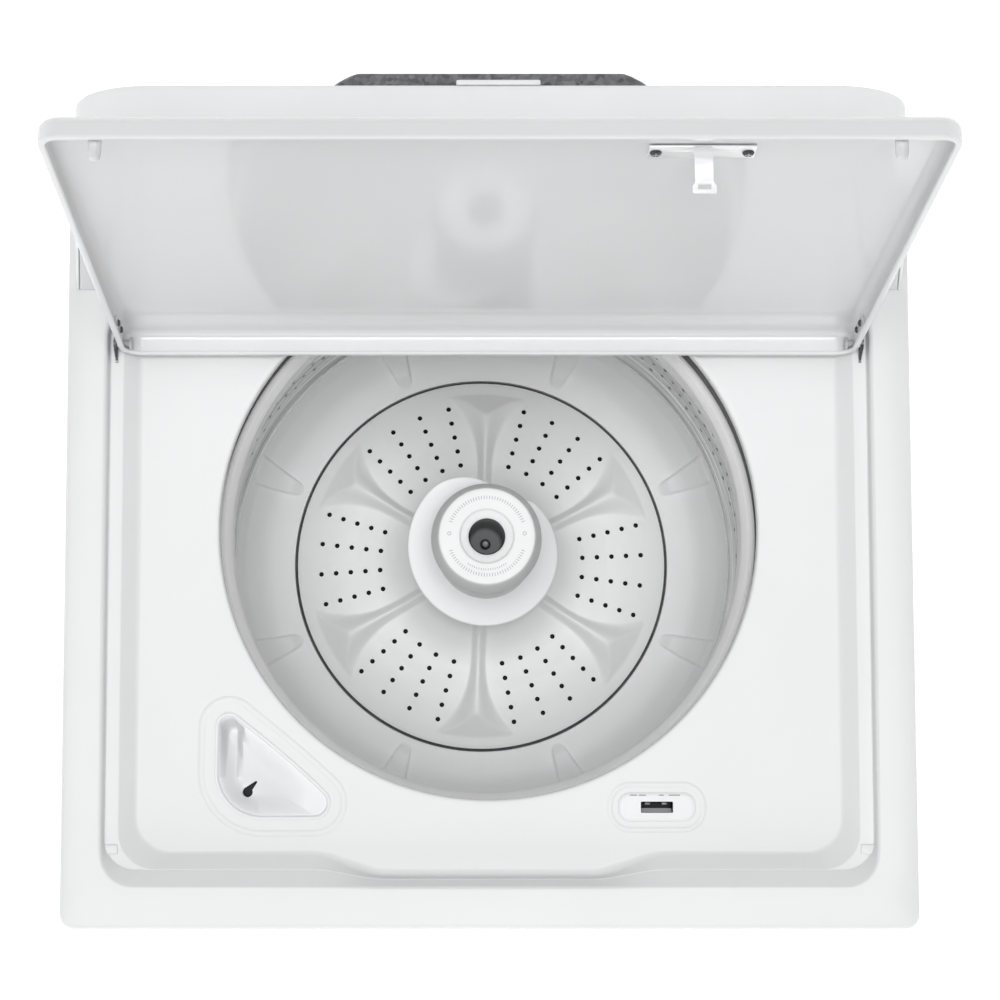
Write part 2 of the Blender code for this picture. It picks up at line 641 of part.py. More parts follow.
def build_console_inside():
    """Control board behind the fascia, mixing valve with two hose ports, and the cord's gland."""
    place("control_board", box(-0.26, 0.24, 0.2310, 0.2330, DECK_Z + 0.030, DECK_Z + 0.125),
          circuit_green(), smooth=False)
    back = CONSOLE_BACK_Y
    valve = place("water_inlet_valve", box(0.205, 0.312, back - 0.050, back - 0.020, DECK_Z + 0.025,
                                           DECK_Z + 0.095), white_plastic(), smooth=False)
    for name, x, z, radius in REAR_PORTS[:2]:
        start = on_deck(x, back - 0.022, z)
        port = [(0.0135, 0), (0.0135, PORT_END_Y - start.y), (0.0095, PORT_END_Y - start.y),
                (0.0095, 0.004)]
        piece = cutter("guide_" + name, turned(port, 20), start, (-math.pi / 2, 0, 0))
        boolean(valve, piece, "UNION")
    name, x, z, radius = REAR_PORTS[2]
    gland = [(0.0075, -0.012), (radius - GAP, -0.012), (radius - GAP, 0.0020), (0.0140, 0.0020),
             (0.0130, 0.0060), (0.0090, 0.0140), (0.0050, 0.0140), (0.0050, -0.008)]
    place("cord_gland", turned(gland, 16), black_rubber(), on_deck(x, back - 0.0010, z),
          (-math.pi / 2, 0, 0))
    spout = [(0, 0.245, DECK_Z + 0.030), (0, 0.245, DECK_Z - 0.010), (0, 0.232, DECK_Z - 0.031),
             (0, 0.185, DECK_Z - 0.036), (0, 0.150, DECK_Z - 0.040)]
    place("water_fill_nozzle", pipe(spout, 0.010, 12), white_plastic())


# ---- Tub ----------------------------------------------------------------------------------
def at_axis(z=0.0):
    return (0, AXIS_Y, z)


def build_tub():
    inner = TUB_R - TUB_WALL
    profile = [(0.031, TUB_BOTTOM), (0.200, TUB_BOTTOM), (0.262, 0.410), (TUB_R, 0.440),
               (TUB_R, TUB_TOP), (inner, TUB_TOP), (inner, 0.442), (0.259, 0.4145),
               (0.199, TUB_BOTTOM + TUB_WALL), (0.031, TUB_BOTTOM + TUB_WALL)]
    tub = place("outer_tub", turned(profile, 32, loop=True), pale_plastic(), at_axis())
    for i, corner in enumerate(ROD_PLACES):
        x, y = ROD_PLACES[corner]
        turn = math.atan2(y - AXIS_Y, x)
        ear = cutter("guide_ear_" + corner, box(TUB_R - 0.0025, 0.388, -0.020, 0.020, EAR_Z,
                                                EAR_Z + 0.010), at_axis(), (0, 0, turn))
        boolean(tub, ear, "UNION")
    for corner, (x, y) in ROD_PLACES.items():
        hole = cutter("cutter_ear_" + corner, turned([(0.0085, -0.02), (0.0085, 0.02)], 12),
                      (x, y, EAR_Z + 0.005))
        boolean(tub, hole)

    ring = [(0.2335, 0.832), (0.2335, 0.8435), (0.2360, 0.846), (0.2805, 0.846), (0.2825, 0.844),
            (0.2825, 0.822), (TUB_R + GAP, 0.822), (TUB_R + GAP, TUB_TOP + GAP),
            (0.2365, TUB_TOP + GAP), (0.2365, 0.832)]
    place("tub_ring", turned(ring, 32, loop=True), white_plastic(), at_axis())
    bearing = [(0.0160, 0.3915), (0.0307, 0.3915), (0.0307, 0.4080), (0.0250, 0.4180),
               (0.0160, 0.4180)]
    place("tub_bearing", turned(bearing, 24, loop=True), stainless(), at_axis())
    for corner, (x, y) in ROD_PLACES.items():
        place("suspension_spring_" + corner, spring(), dark_steel(), (x, y, SPRING_FOOT_Z))


def spring():
    """Coil between the rod's lower cup and the tub's ear."""
    turns, steps, wire, coil_r = 3, 8, 0.0020, 0.0115
    length = EAR_Z - GAP - SPRING_FOOT_Z
    rings = []
    for i in range(turns * steps + 1):
        a = 2 * math.pi * i / steps
        rise = wire + (length - 2 * wire) * i / (turns * steps)
        out = Vector((math.cos(a), math.sin(a), 0))
        rings.append([out * (coil_r + wire * dx) + Vector((0, 0, rise + wire * dz))
                      for dx, dz in ((1, 0), (0, 1), (-1, 0), (0, -1))])
    return loft(rings)


# ---- Drive under the tub ------------------------------------------------------------------
def build_drive():
    plate_z = 0.3878
    outline = arc(0, 0, 0.090, 50, 310, 12) + arc(MOTOR_X, 0, 0.060, -70, 70, 8)
    plate = place("drive_plate", prism(outline, plate_z, plate_z + 0.0034), galvanised(), at_axis(),
                  smooth=False)
    bore = cutter("cutter_drive_plate", turned([(0.0310, -0.01), (0.0310, 0.01)], 24),
                  at_axis(plate_z))
    boolean(plate, bore)
    gearcase = [(0.0165, 0.262), (0.055, 0.262), (0.075, 0.275), (0.078, 0.330), (0.070, 0.360),
                (0.070, plate_z - GAP), (0.0165, plate_z - GAP)]
    place("gearcase", turned(gearcase, 20, loop=True), cast_aluminium(), at_axis())
    motor = [(0.030, 0.252), (0.058, 0.256), (0.062, 0.264), (0.062, 0.370), (0.056, 0.378),
             (0.040, plate_z - GAP)]
    place("motor", turned(motor, 18), dark_steel(), (MOTOR_X, AXIS_Y, 0))
    place("drive_pulley", turned(pulley(PULLEY_R, 0.2617), 28), cast_aluminium(),
          at_axis(PULLEY_Z))
    place("motor_pulley", turned(pulley(MOTOR_PULLEY_R, 0.2517), 14), cast_aluminium(),
          (MOTOR_X, AXIS_Y, PULLEY_Z))
    place("drive_belt", belt(), black_rubber(), at_axis())
    pump = [(0.030, 0.290), (0.042, 0.294), (0.042, 0.340), (0.046, 0.342), (0.046, 0.366),
            (0.022, 0.372), (0.018, TUB_BOTTOM - GAP)]
    place("drain_pump", turned(pump, 16), grey_plastic(), (-0.155, AXIS_Y - 0.085, 0))


def pulley(radius, hub_top):
    """Belt wheel with two flanges and a hub that reaches up to its shaft."""
    top = hub_top - PULLEY_Z
    return [(radius - 0.004, 0), (radius + 0.003, 0.0005), (radius + 0.003, 0.0030), (radius, 0.0034),
            (radius, 0.0146), (radius + 0.003, 0.0150), (radius + 0.003, 0.0175), (0.014, 0.0180),
            (0.012, top)]


def belt():
    """Flat loop round both pulleys."""
    lean = math.degrees(math.asin((PULLEY_R - MOTOR_PULLEY_R) / MOTOR_X))
    loops = []
    for grow in (BELT_GAP, BELT_GAP + BELT_T):
        outline = (arc(0, 0, PULLEY_R + grow, 90 - lean, 270 + lean, 18)
                   + arc(MOTOR_X, 0, MOTOR_PULLEY_R + grow, -90 + lean, 90 - lean, 6))
        loops.append(outline)
    inner, outer = loops
    z0, z1 = PULLEY_Z + 0.0040, PULLEY_Z + 0.0140
    rings = [[Vector((x, y, z)) for x, y in outline]
             for outline, z in ((inner, z0), (inner, z1), (outer, z1), (outer, z0))]
    return loft(rings, loop=True)


def build_drain_hose():
    """Grey hose from beside the pump up the back corner to the drain port in the rear panel."""
    route = [(-0.225, -0.02, 0.060), (-0.285, 0.05, 0.062), (-0.315, 0.16, 0.075),
             (-0.318, 0.245, 0.150), (-0.318, 0.275, 0.30), (-0.318, 0.280, 0.50),
             (-0.315, 0.280, 0.66), (-0.300, 0.275, 0.76), (-0.275, 0.285, 0.796),
             (-0.270, 0.306, 0.800)]
    place("drain_hose", pipe(route, 0.012, 6), grey_plastic())
    start_y = REAR_Y - 0.0016
    port = [(0.0115, -0.0030), (0.0172, -0.0030), (0.0172, 0.0020), (0.0210, 0.0020),
            (0.0210, 0.0040), (0.0150, 0.0070), (0.0150, DRAIN_END_Y - start_y),
            (0.0115, DRAIN_END_Y - start_y)]
    place("drain_port", turned(port, 18, loop=True), grey_plastic(), (-0.27, start_y, 0.80),
          (-math.pi / 2, 0, 0))


# ---- Basket -------------------------------------------------------------------------------
def build_basket():
    wall = [(BASKET_R - BASKET_SHEET, 0.5563), (BASKET_R, 0.5563), (BASKET_R, 0.7815),
            (BASKET_R - BASKET_SHEET, 0.7815)]
    place("basket_wall", turned(wall, 36, loop=True), stainless(), at_axis())
    ring = [(0.2225, 0.7818), (0.2400, 0.7818), (0.2425, 0.7840), (0.2425, 0.7930), (0.2318, 0.7985),
            (0.2312, 0.8200), (0.2295, 0.8256), (0.2265, 0.8250), (0.2197, 0.8150), (0.2197, 0.790)]
    place("balance_ring", turned(ring, 36, loop=True), pale_plastic(), at_axis())
    base = [(0.0160, 0.470), (0.0160, 0.484), (0.1760, 0.484), (0.1840, 0.490), (0.1840, 0.5065),
            (0.2155, 0.520), (0.2330, 0.5440), (0.2385, 0.556), (0.2412, 0.556), (0.2412, 0.532),
            (0.2300, 0.505), (0.190, 0.478), (0.050, 0.470)]
    place("basket_base", turned(base, 36, loop=True), white_plastic(), at_axis())
    tube = [(0.0100, 0.300), (0.0155, 0.300), (0.0155, 0.455), (0.0450, 0.458), (0.0450, 0.4697),
            (0.0158, 0.4697), (0.0155, 0.492), (0.0100, 0.492)]
    place("spin_tube", turned(tube, 16, loop=True), stainless(), at_axis())


# ---- Agitator -----------------------------------------------------------------------------
PLATE_PROFILE = [(WASH_PLATE_R, WASH_PLATE_Z), (0.175, 0.508), (0.155, 0.5105), (0.125, 0.515),
                 (0.090, 0.522), (0.064, 0.540), (0.054, 0.565), (0.048, 0.585), (0.018, 0.585)]
VANES = 6
VANE_FROM_R, VANE_TO_R = 0.058, 0.176


def vane_rise(radius, angle):
    """Height that the vanes add to the plate: high and thin at the post, low and wide outside."""
    if radius < VANE_FROM_R or radius > VANE_TO_R:
        return 0.0
    step = 2 * math.pi / VANES
    nearest = (angle - step / 2) / step
    off = abs(nearest - round(nearest)) * step * radius
    t = (radius - VANE_FROM_R) / (VANE_TO_R - VANE_FROM_R)
    width = 0.006 + 0.024 * t**2
    height = 0.034 * (1 - t) + 0.014 * t
    return height * max(0.0, 1 - off / width)


def build_agitator():
    count, wall = 36, 0.003

    def ring(radius, z, drop):
        return [Vector((p.x, p.y, z + vane_rise(radius, math.atan2(p.y, p.x)) - drop))
                for p in circle(radius, 0, count)]

    under = [ring(radius, z, wall) for radius, z in reversed(PLATE_PROFILE)]
    under[-1] = ring(WASH_PLATE_R, WASH_PLATE_Z, wall + 0.002)
    over = [ring(radius, z, 0) for radius, z in PLATE_PROFILE]
    place("wash_plate", loft(under + over), pale_plastic(), at_axis())
    shaft = [(0.0094, 0.270), (0.0094, 0.560), (0.0070, 0.572)]
    place("agitator_shaft", turned(shaft, 16), stainless(), at_axis())

    core = [(0.0345, 0.715), (0.0345, AUGER_TOP_Z - GAP), (0.0440, AUGER_TOP_Z - GAP), (0.0440, 0.790),
            (0.0455, 0.660), (0.0485, AUGER_FOOT_Z)]
    auger = place("auger", turned(core, 24), white_plastic(), at_axis())
    flight = cutter("guide_flight", loft(flight_rings()), at_axis())
    boolean(auger, flight, "UNION")
    dispenser = [(0.0320, 0.7200), (0.0341, 0.7850), (0.0341, AUGER_TOP_Z), (0.0482, AUGER_TOP_Z),
                 (0.0482, 0.8030), (0.0420, 0.8255), (0.0405, 0.8270), (0.0235, 0.8270),
                 (0.0222, 0.8255), (0.0160, 0.8235), (0.0156, 0.8220), (0.0150, 0.7400)]
    place("softener_dispenser", turned(dispenser, 20), pale_plastic(), at_axis())


def flight_rings():
    """Blade of the helical flight: it starts thin at the top, then runs round and down."""
    steps, turns, blade = 26, 1.05, 0.005
    top, drop = 0.770, 0.158
    rings = []
    for i in range(steps + 1):
        t = i / steps
        a = math.radians(64) + 2 * math.pi * turns * t
        z = top - drop * t
        grow = min(1.0, t / 0.18, (1 - t) / 0.10)
        out = 0.0455 + 0.0245 * max(grow, 0.05)
        rings.append([Vector((r * math.cos(a), r * math.sin(a), z + dz))
                      for r, dz in ((0.0400, 0), (out, -0.001), (out, -blade + 0.001), (0.0400, -blade))])
    return rings


def main():
    for obj in list(bpy.data.objects):
        bpy.data.objects.remove(obj, do_unlink=True)
    build_cabinet()
    build_frames_and_feet()
    build_deck()
    build_bleach_dispenser()
    build_lid_lock()
    build_lid()
    build_console()
    build_controls()
    build_console_inside()
    build_tub()
    build_drive()
    build_drain_hose()
    build_basket()
    build_agitator()
    bpy.context.view_layer.update()


main()
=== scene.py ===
"""Top load washing machine, its lid standing open: the looks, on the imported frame.

Metres, +Z up, front towards -Y, x = 0 in the machine's middle plane, floor at z = 0.
"""
import math

import bmesh
import bpy
from mathutils import Matrix, Vector


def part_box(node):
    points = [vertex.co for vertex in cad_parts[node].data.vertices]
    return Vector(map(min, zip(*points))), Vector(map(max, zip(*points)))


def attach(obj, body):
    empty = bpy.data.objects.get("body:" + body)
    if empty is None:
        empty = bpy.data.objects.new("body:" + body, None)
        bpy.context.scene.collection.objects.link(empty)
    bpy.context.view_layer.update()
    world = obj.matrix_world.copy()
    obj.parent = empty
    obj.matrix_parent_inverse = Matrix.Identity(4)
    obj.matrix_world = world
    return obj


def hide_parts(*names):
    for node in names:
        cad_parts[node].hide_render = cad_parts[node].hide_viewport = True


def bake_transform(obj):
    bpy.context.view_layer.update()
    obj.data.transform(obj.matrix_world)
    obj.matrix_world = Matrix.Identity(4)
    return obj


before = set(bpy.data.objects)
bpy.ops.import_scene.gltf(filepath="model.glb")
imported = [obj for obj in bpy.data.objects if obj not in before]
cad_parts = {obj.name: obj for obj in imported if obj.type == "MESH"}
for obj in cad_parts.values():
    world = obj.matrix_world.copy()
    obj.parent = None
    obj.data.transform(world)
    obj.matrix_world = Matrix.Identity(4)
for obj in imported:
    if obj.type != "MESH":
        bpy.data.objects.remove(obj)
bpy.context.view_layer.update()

# ---- Dimensions shared with the frame ----------------------------------------------------
HALF_WIDTH = 0.34925
FRONT_Y, REAR_Y = -0.343, 0.314
DECK_Z = 0.914
AXIS_Y = -0.015
LEDGE_Z, FLOOR_Z, LIP_Z = DECK_Z - 0.011, DECK_Z - 0.022, DECK_Z - 0.031
OPENING_R, OPENING_REAR_Y = 0.224, 0.139
PIN_Y, PIN_Z, LID_OPEN = 0.138, DECK_Z - 0.003, math.radians(99.5)
LID_HALF_WIDTH, LID_FRONT, LID_REAR, LID_RIM, LID_SHEET = 0.3065, -0.429, 0.012, -0.007, 0.002
STRIKE_X, STRIKE_Y = 0.1383, -0.245
CONSOLE_FOOT_Y, CONSOLE_TOP_Y, CONSOLE_H, CONSOLE_WALL = 0.182, 0.218, 0.155, 0.003
CONSOLE_BACK_Y = REAR_Y - 0.0015
PORT_END_Y, DRAIN_END_Y = 0.334, 0.343
BASKET_R = 0.2409
CONTROLS_Z = 0.078
FASCIA_TILT = math.atan((CONSOLE_TOP_Y - CONSOLE_FOOT_Y) / CONSOLE_H)
SIDES = ((-1, "left"), (1, "right"))
CORNERS = ("front_left", "front_right", "rear_left", "rear_right")
INLETS = ((0.235, "hot"), (0.285, "cold"))
START_X, GLAND_X = 0.085, -0.27
DIALS = (("cycle_knob", "cycle_dial", 0.205, 0.03, 36),
         ("option_knob_left", "option_dial_left", -0.215, 0.02, 24),
         ("option_knob_right", "option_dial_right", -0.1, 0.02, 24))
DRAIN_X, DRAIN_Z = -0.27, 0.8
BUMPER_Y, CAP_TOP = -0.415, 0.827


# ---- Small maths -------------------------------------------------------------------------
def ease(t):
    t = max(0.0, min(1.0, t))
    return t * t * (3 - 2 * t)


def soft_min(a, b, width):
    """Smaller of the two, with the crease between them rounded."""
    h = max(width - abs(a - b), 0.0) / width
    return min(a, b) - h * h * width / 4


def arc(cx, cy, radius, start, end, steps):
    angles = [math.radians(start + (end - start) * i / steps) for i in range(steps + 1)]
    return [(cx + radius * math.cos(a), cy + radius * math.sin(a)) for a in angles]


def rounded_rectangle(x0, x1, y0, y1, radius, steps=8):
    return (arc(x1 - radius, y0 + radius, radius, -90, 0, steps)
            + arc(x1 - radius, y1 - radius, radius, 0, 90, steps)
            + arc(x0 + radius, y1 - radius, radius, 90, 180, steps)
            + arc(x0 + radius, y0 + radius, radius, 180, 270, steps))


def filleted(corners, steps=5):
    """Polyline of (a, b, radius) corners, each turned into an arc of steps + 1 points."""
    line = []
    for i, (a, b, radius) in enumerate(corners):
        p = Vector((a, b))
        if i in (0, len(corners) - 1):
            line.append(p)
            continue
        back = Vector(corners[i - 1][:2]) - p
        ahead = Vector(corners[i + 1][:2]) - p
        if radius <= 0 or back.length < 1e-7 or ahead.length < 1e-7:
            line += [p] * (steps + 1)
            continue
        reach = 0.48 * min(back.length, ahead.length)
        u, v = back.normalized(), ahead.normalized()
        half = math.acos(max(-1.0, min(1.0, u.dot(v)))) / 2
        if half > 1.565:
            line += [p] * (steps + 1)
            continue
        along = min(radius / math.tan(half), reach)
        middle = (u + v).normalized() * (along / math.cos(half))
        start, end = u * along - middle, v * along - middle
        span = math.pi - 2 * half
        for k in range(steps + 1):
            t = k / steps
            weight = math.sin(span)
            spot = (start * math.sin((1 - t) * span) + end * math.sin(t * span)) / weight
            line.append(p + middle + spot)
    return line


# ---- Mesh helpers ------------------------------------------------------------------------
def loft(rings, loop=False, caps=True, closed=True):
    """Faces between rings of equal count."""
    bm = bmesh.new()
    rows = [[bm.verts.new(point) for point in ring] for ring in rings]
    pairs = list(zip(rows, rows[1:]))
    if loop:
        pairs.append((rows[-1], rows[0]))
    elif caps:
        bm.faces.new(rows[0])
        bm.faces.new(rows[-1])
    count = len(rings[0])
    for low, high in pairs:
        for i in range(count if closed else count - 1):
            j = (i + 1) % count
            bm.faces.new((low[i], low[j], high[j], high[i]))
    bmesh.ops.remove_doubles(bm, verts=bm.verts, dist=1e-7)
    bmesh.ops.recalc_face_normals(bm, faces=bm.faces)
    return bm


def polar(radius, angle, z=0.0):
    return Vector((radius * math.cos(angle), radius * math.sin(angle), z))


def circle(radius, z, count):
    step = 2 * math.pi / count
    return [polar(radius, i * step, z) for i in range(count)]


def turned(corners, count, loop=False, steps=5):
    """Turn (radius, height, fillet) corners about the local Z axis."""
    line = filleted(corners, steps) if not loop else closed_fillets(corners, steps)
    return loft([circle(p.x, p.y, count) for p in line], loop)


def closed_fillets(corners, steps=5):
    """As filleted, for a section that closes on itself."""
    around = [corners[-1]] + list(corners) + [corners[0]]
    return filleted(around, steps)[1:-1]


def stacked(outline, steps, base=0.0):
    """Rings that follow an outline, through (grow, height) steps above a base height."""
    return [[Vector((x, y, base + z)) for x, y in outline(grow)] for grow, z in steps]


def resampled(line, step):
    """The same polyline, with points about a step apart."""
    fine = []
    for a, b in zip(line, line[1:]):
        parts = max(1, int((b - a).length / step))
        fine += [a.lerp(b, k / parts) for k in range(parts)]
    return fine + [line[-1]]


def prism(outline, z0, z1):
    return loft([[Vector((x, y, z)) for x, y in outline] for z in (z0, z1)])


def block(x0, x1, y0, y1, z0, z1, bevel=0.0, segments=3):
    bm = prism([(x0, y0), (x1, y0), (x1, y1), (x0, y1)], z0, z1)
    if bevel:
        bmesh.ops.bevel(bm, geom=list(bm.edges), offset=bevel, segments=segments, profile=0.5,
                        affect="EDGES")
    return bm


def joined(*meshes):
    """Several meshes as one."""
    first = meshes[0]
    for other in meshes[1:]:
        made = [first.verts.new(v.co) for v in other.verts]
        other.verts.index_update()
        for face in other.faces:
            first.faces.new([made[v.index] for v in face.verts])
        other.free()
    return first


def moved(bm, matrix):
    bmesh.ops.transform(bm, matrix=matrix, verts=bm.verts)
    return bm


def bore(radius, place, reach=0.01):
    """Round tool for a through hole."""
    return moved(turned([(radius, -reach, 0), (radius, reach, 0)], 32), place)


def shift(x=0.0, y=0.0, z=0.0):
    return Matrix.Translation((x, y, z))


def turn(degrees, axis):
    return Matrix.Rotation(math.radians(degrees), 4, axis)


def obj_from(name, bm, mat, sharp=38):
    mesh = bpy.data.meshes.new(name)
    bm.to_mesh(mesh)
    bm.free()
    mesh.shade_smooth()
    mesh.set_sharp_from_angle(angle=math.radians(sharp))
    if mat:
        mesh.materials.append(mat)
    obj = bpy.data.objects.new(name, mesh)
    bpy.context.collection.objects.link(obj)
    return obj


def piece(name, bm, mat, body, nodes=(), at=None, sharp=38):
    """A visible piece, riding on a body of the frame and standing for its CAD nodes."""
    obj = obj_from(name, bm, mat, sharp)
    if at is not None:
        obj.matrix_world = at
    return settle(obj, body, nodes)


def settle(obj, body, nodes=()):
    bpy.context.view_layer.update()
    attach(obj, body)
    if nodes:
        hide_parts(*nodes)
    return obj


def carve(obj, *tools, operation="DIFFERENCE", solver="MANIFOLD", sharp=38):
    """Apply Boolean steps with throwaway tool meshes."""
    for tool in tools:
        cutter = obj_from("tool", tool, None)
        step = obj.modifiers.new("carve", "BOOLEAN")
        step.operation = operation
        step.solver = solver
        step.object = cutter
        bpy.context.view_layer.update()
        graph = bpy.context.evaluated_depsgraph_get()
        mesh = bpy.data.meshes.new_from_object(obj.evaluated_get(graph))
        obj.modifiers.clear()
        obj.data = mesh
        bpy.data.objects.remove(cutter, do_unlink=True)
    obj.data.shade_smooth()
    obj.data.set_sharp_from_angle(angle=math.radians(sharp))
    return obj


# ---- Materials ---------------------------------------------------------------------------
class Nodes:
    """Shorthand for building one material's nodes."""

    def __init__(self, name):
        self.mat = bpy.data.materials.new(name)
        self.mat.use_nodes = True
        self.tree = self.mat.node_tree
        self.shader = self.tree.nodes["Principled BSDF"]
        coords = self.tree.nodes.new("ShaderNodeTexCoord")
        self.place = coords.outputs["Object"]

    def add(self, kind, **values):
        node = self.tree.nodes.new(kind)
        for key, value in values.items():
            if hasattr(node, key):
                setattr(node, key, value)
            else:
                node.inputs[key.replace("_", " ")].default_value = value
        return node

    def link(self, out, into):
        self.tree.links.new(out, into)

    def stretched(self, scale):
        node = self.add("ShaderNodeMapping")
        node.inputs["Scale"].default_value = scale
        self.link(self.place, node.inputs["Vector"])
        return node.outputs["Vector"]

    def noise(self, scale, detail=3.0, stretch=None, rough=0.5):
        node = self.add("ShaderNodeTexNoise", Scale=scale, Detail=detail, Roughness=rough)
        self.link(self.stretched(stretch) if stretch else self.place, node.inputs["Vector"])
        return node.outputs["Fac"]

    def ranged(self, value, low, high, from_low=0.3, from_high=0.7):
        node = self.add("ShaderNodeMapRange")
        for name, number in (("From Min", from_low), ("From Max", from_high), ("To Min", low),
                             ("To Max", high)):
            node.inputs[name].default_value = number
        self.link(value, node.inputs["Value"])
        return node.outputs["Result"]

    def mix(self, factor, a, b):
        node = self.add("ShaderNodeMix", data_type="RGBA")
        self.link(factor, node.inputs["Factor"])
        for colour, socket in ((a, node.inputs[6]), (b, node.inputs[7])):
            if isinstance(colour, tuple):
                socket.default_value = (*colour, 1.0)
            else:
                self.link(colour, socket)
        return node.outputs[2]

    def bump(self, height, strength, distance, under=None):
        node = self.add("ShaderNodeBump")
        node.inputs["Strength"].default_value = strength
        node.inputs["Distance"].default_value = distance
        self.link(height, node.inputs["Height"])
        if under is not None:
            self.link(under, node.inputs["Normal"])
        return node.outputs["Normal"]

    def into(self, **sockets):
        for name, value in sockets.items():
            socket = self.shader.inputs[name.replace("_", " ")]
            if isinstance(value, (int, float, tuple)):
                socket.default_value = value
            else:
                self.link(value, socket)
        return self.mat


def tinted(colour, factor):
    return tuple(min(1.0, c * factor) for c in colour)


def enamel(name, colour, rough=0.2, shine=0.12):
    """Sprayed and fired coat: a faint orange peel under a clear gloss."""
    n = Nodes(name)
    patch = n.noise(5.0, 2.0)
    base = n.mix(n.ranged(patch, 0.0, 1.0), tinted(colour, 0.985), tinted(colour, 1.012))
    peel = n.noise(420.0, 2.0)
    wave = n.noise(60.0, 1.0)
    normal = n.bump(wave, 0.02, 0.0004, n.bump(peel, 0.03, 0.0001))
    return n.into(Base_Color=base, Roughness=n.ranged(n.noise(26.0, 3.0), rough * 0.85, rough * 1.12),
                  Normal=normal, Specular_IOR_Level=shine)


def moulded(name, colour, rough=0.36, grain=0.1, shine=0.35):
    """Moulded plastic: fine spark-eroded grain and slow changes of tone and gloss."""
    n = Nodes(name)
    base = n.mix(n.ranged(n.noise(9.0, 3.0), 0.0, 1.0), tinted(colour, 0.985), tinted(colour, 1.015))
    normal = n.bump(n.noise(900.0, 4.0), grain, 0.0002)
    return n.into(Base_Color=base, Normal=normal, Specular_IOR_Level=shine,
                  Roughness=n.ranged(n.noise(35.0, 4.0), rough - 0.04, rough + 0.06))


def brushed(name, colour, rough, stretch, depth, low=0.86):
    """Steel with its grain drawn out in one direction."""
    n = Nodes(name)
    streak = n.noise(1.0, 6.0, stretch, 0.65)
    base = n.mix(n.ranged(streak, 0.0, 1.0), tinted(colour, low), tinted(colour, 1.1))
    normal = n.bump(streak, depth, 0.0003)
    return n.into(Base_Color=base, Metallic=1.0, Normal=normal,
                  Roughness=n.ranged(streak, rough - 0.05, rough + 0.12))


def zinc(name, colour, rough):
    """Hot dipped sheet: flat crystals of slightly different brightness."""
    n = Nodes(name)
    cells = n.add("ShaderNodeTexVoronoi", Scale=260.0, Randomness=1.0)
    n.link(n.place, cells.inputs["Vector"])
    grey = n.add("ShaderNodeRGBToBW")
    n.link(cells.outputs["Color"], grey.inputs["Color"])
    shade = n.ranged(grey.outputs["Val"], 0.0, 1.0, 0.1, 0.9)
    base = n.mix(shade, tinted(colour, 0.62), tinted(colour, 1.2))
    normal = n.bump(n.noise(240.0, 4.0), 0.08, 0.0003)
    return n.into(Base_Color=base, Metallic=0.85, Normal=normal,
                  Roughness=n.ranged(grey.outputs["Val"], rough - 0.08, rough + 0.12, 0.0, 1.0))


def rough_metal(name, colour, rough, scale=300.0, depth=0.25):
    """Cast or blackened metal."""
    n = Nodes(name)
    base = n.mix(n.ranged(n.noise(40.0, 5.0), 0.0, 1.0), tinted(colour, 0.75), tinted(colour, 1.2))
    normal = n.bump(n.noise(scale, 5.0), depth, 0.0004)
    return n.into(Base_Color=base, Metallic=1.0, Normal=normal,
                  Roughness=n.ranged(n.noise(60.0, 4.0), rough - 0.1, rough + 0.1))


def rubber(name, colour, rough=0.7):
    n = Nodes(name)
    base = n.mix(n.ranged(n.noise(50.0, 4.0), 0.0, 1.0), tinted(colour, 0.8), tinted(colour, 1.3))
    normal = n.bump(n.noise(1300.0, 4.0), 0.2, 0.0002)
    return n.into(Base_Color=base, Normal=normal,
                  Roughness=n.ranged(n.noise(80.0, 3.0), rough - 0.08, rough + 0.08))


def board(name):
    """Circuit board: dark green lacquer over a web of tracks."""
    n = Nodes(name)
    tracks = n.add("ShaderNodeTexBrick", Scale=160.0)
    n.link(n.place, tracks.inputs["Vector"])
    base = n.mix(tracks.outputs["Fac"], (0.02, 0.13, 0.06), (0.05, 0.24, 0.11))
    normal = n.bump(tracks.outputs["Fac"], 0.3, 0.0002)
    return n.into(Base_Color=base, Normal=normal, Roughness=n.ranged(n.noise(30.0), 0.3, 0.5))


WHITE = enamel("white_enamel", (0.675, 0.678, 0.682))
LID_WHITE = enamel("lid_enamel", (0.68, 0.683, 0.69), 0.11, 0.5)
PLASTIC = moulded("white_plastic", (0.71, 0.715, 0.72), 0.34, shine=0.2)
AGITATOR_WHITE = moulded("agitator_plastic", (0.94, 0.945, 0.95), 0.36, 0.06, shine=0.2)
CAP_WHITE = moulded("cap_plastic", (0.745, 0.748, 0.752), 0.36, 0.06, shine=0.2)
BASE_WHITE = moulded("basket_base_plastic", (0.95, 0.953, 0.957), 0.4, 0.06)
RING_PALE = moulded("ring_plastic", (0.93, 0.93, 0.93), 0.36, 0.06)
PLATE_GREY = moulded("wash_plate_plastic", (0.8, 0.802, 0.805), 0.38, 0.06)
KNOB_PALE = moulded("knob_plastic", (0.62, 0.64, 0.66), 0.34)
GREY = moulded("grey_plastic", (0.42, 0.43, 0.45), 0.45, 0.15)
MARK_GREY = moulded("printed_grey", (0.36, 0.37, 0.39), 0.55, 0.02)
BUMPER_PALE = rubber("bumper_rubber", (0.58, 0.59, 0.6), 0.55)
# Black plastic for dark parts; also the colour of the painted shade pieces: the drain plug, the lock's gap
# strips, the basket's hole discs and the ring under the wash plate.
BLACK = moulded("black_plastic", (0.016, 0.017, 0.018), 0.42, 0.12, shine=0.06)
STEEL = brushed("basket_steel", (0.91, 0.91, 0.92), 0.34, (4.0, 4.0, 190.0), 0.8, 0.28)
BRIGHT = brushed("bright_steel", (0.72, 0.72, 0.73), 0.33, (300.0, 18.0, 300.0), 0.06)
SATIN = brushed("satin_steel", (0.94, 0.94, 0.95), 0.42, (30.0, 260.0, 260.0), 0.04, 0.96)
GALVANISED = zinc("galvanised", (0.24, 0.25, 0.26), 0.46)
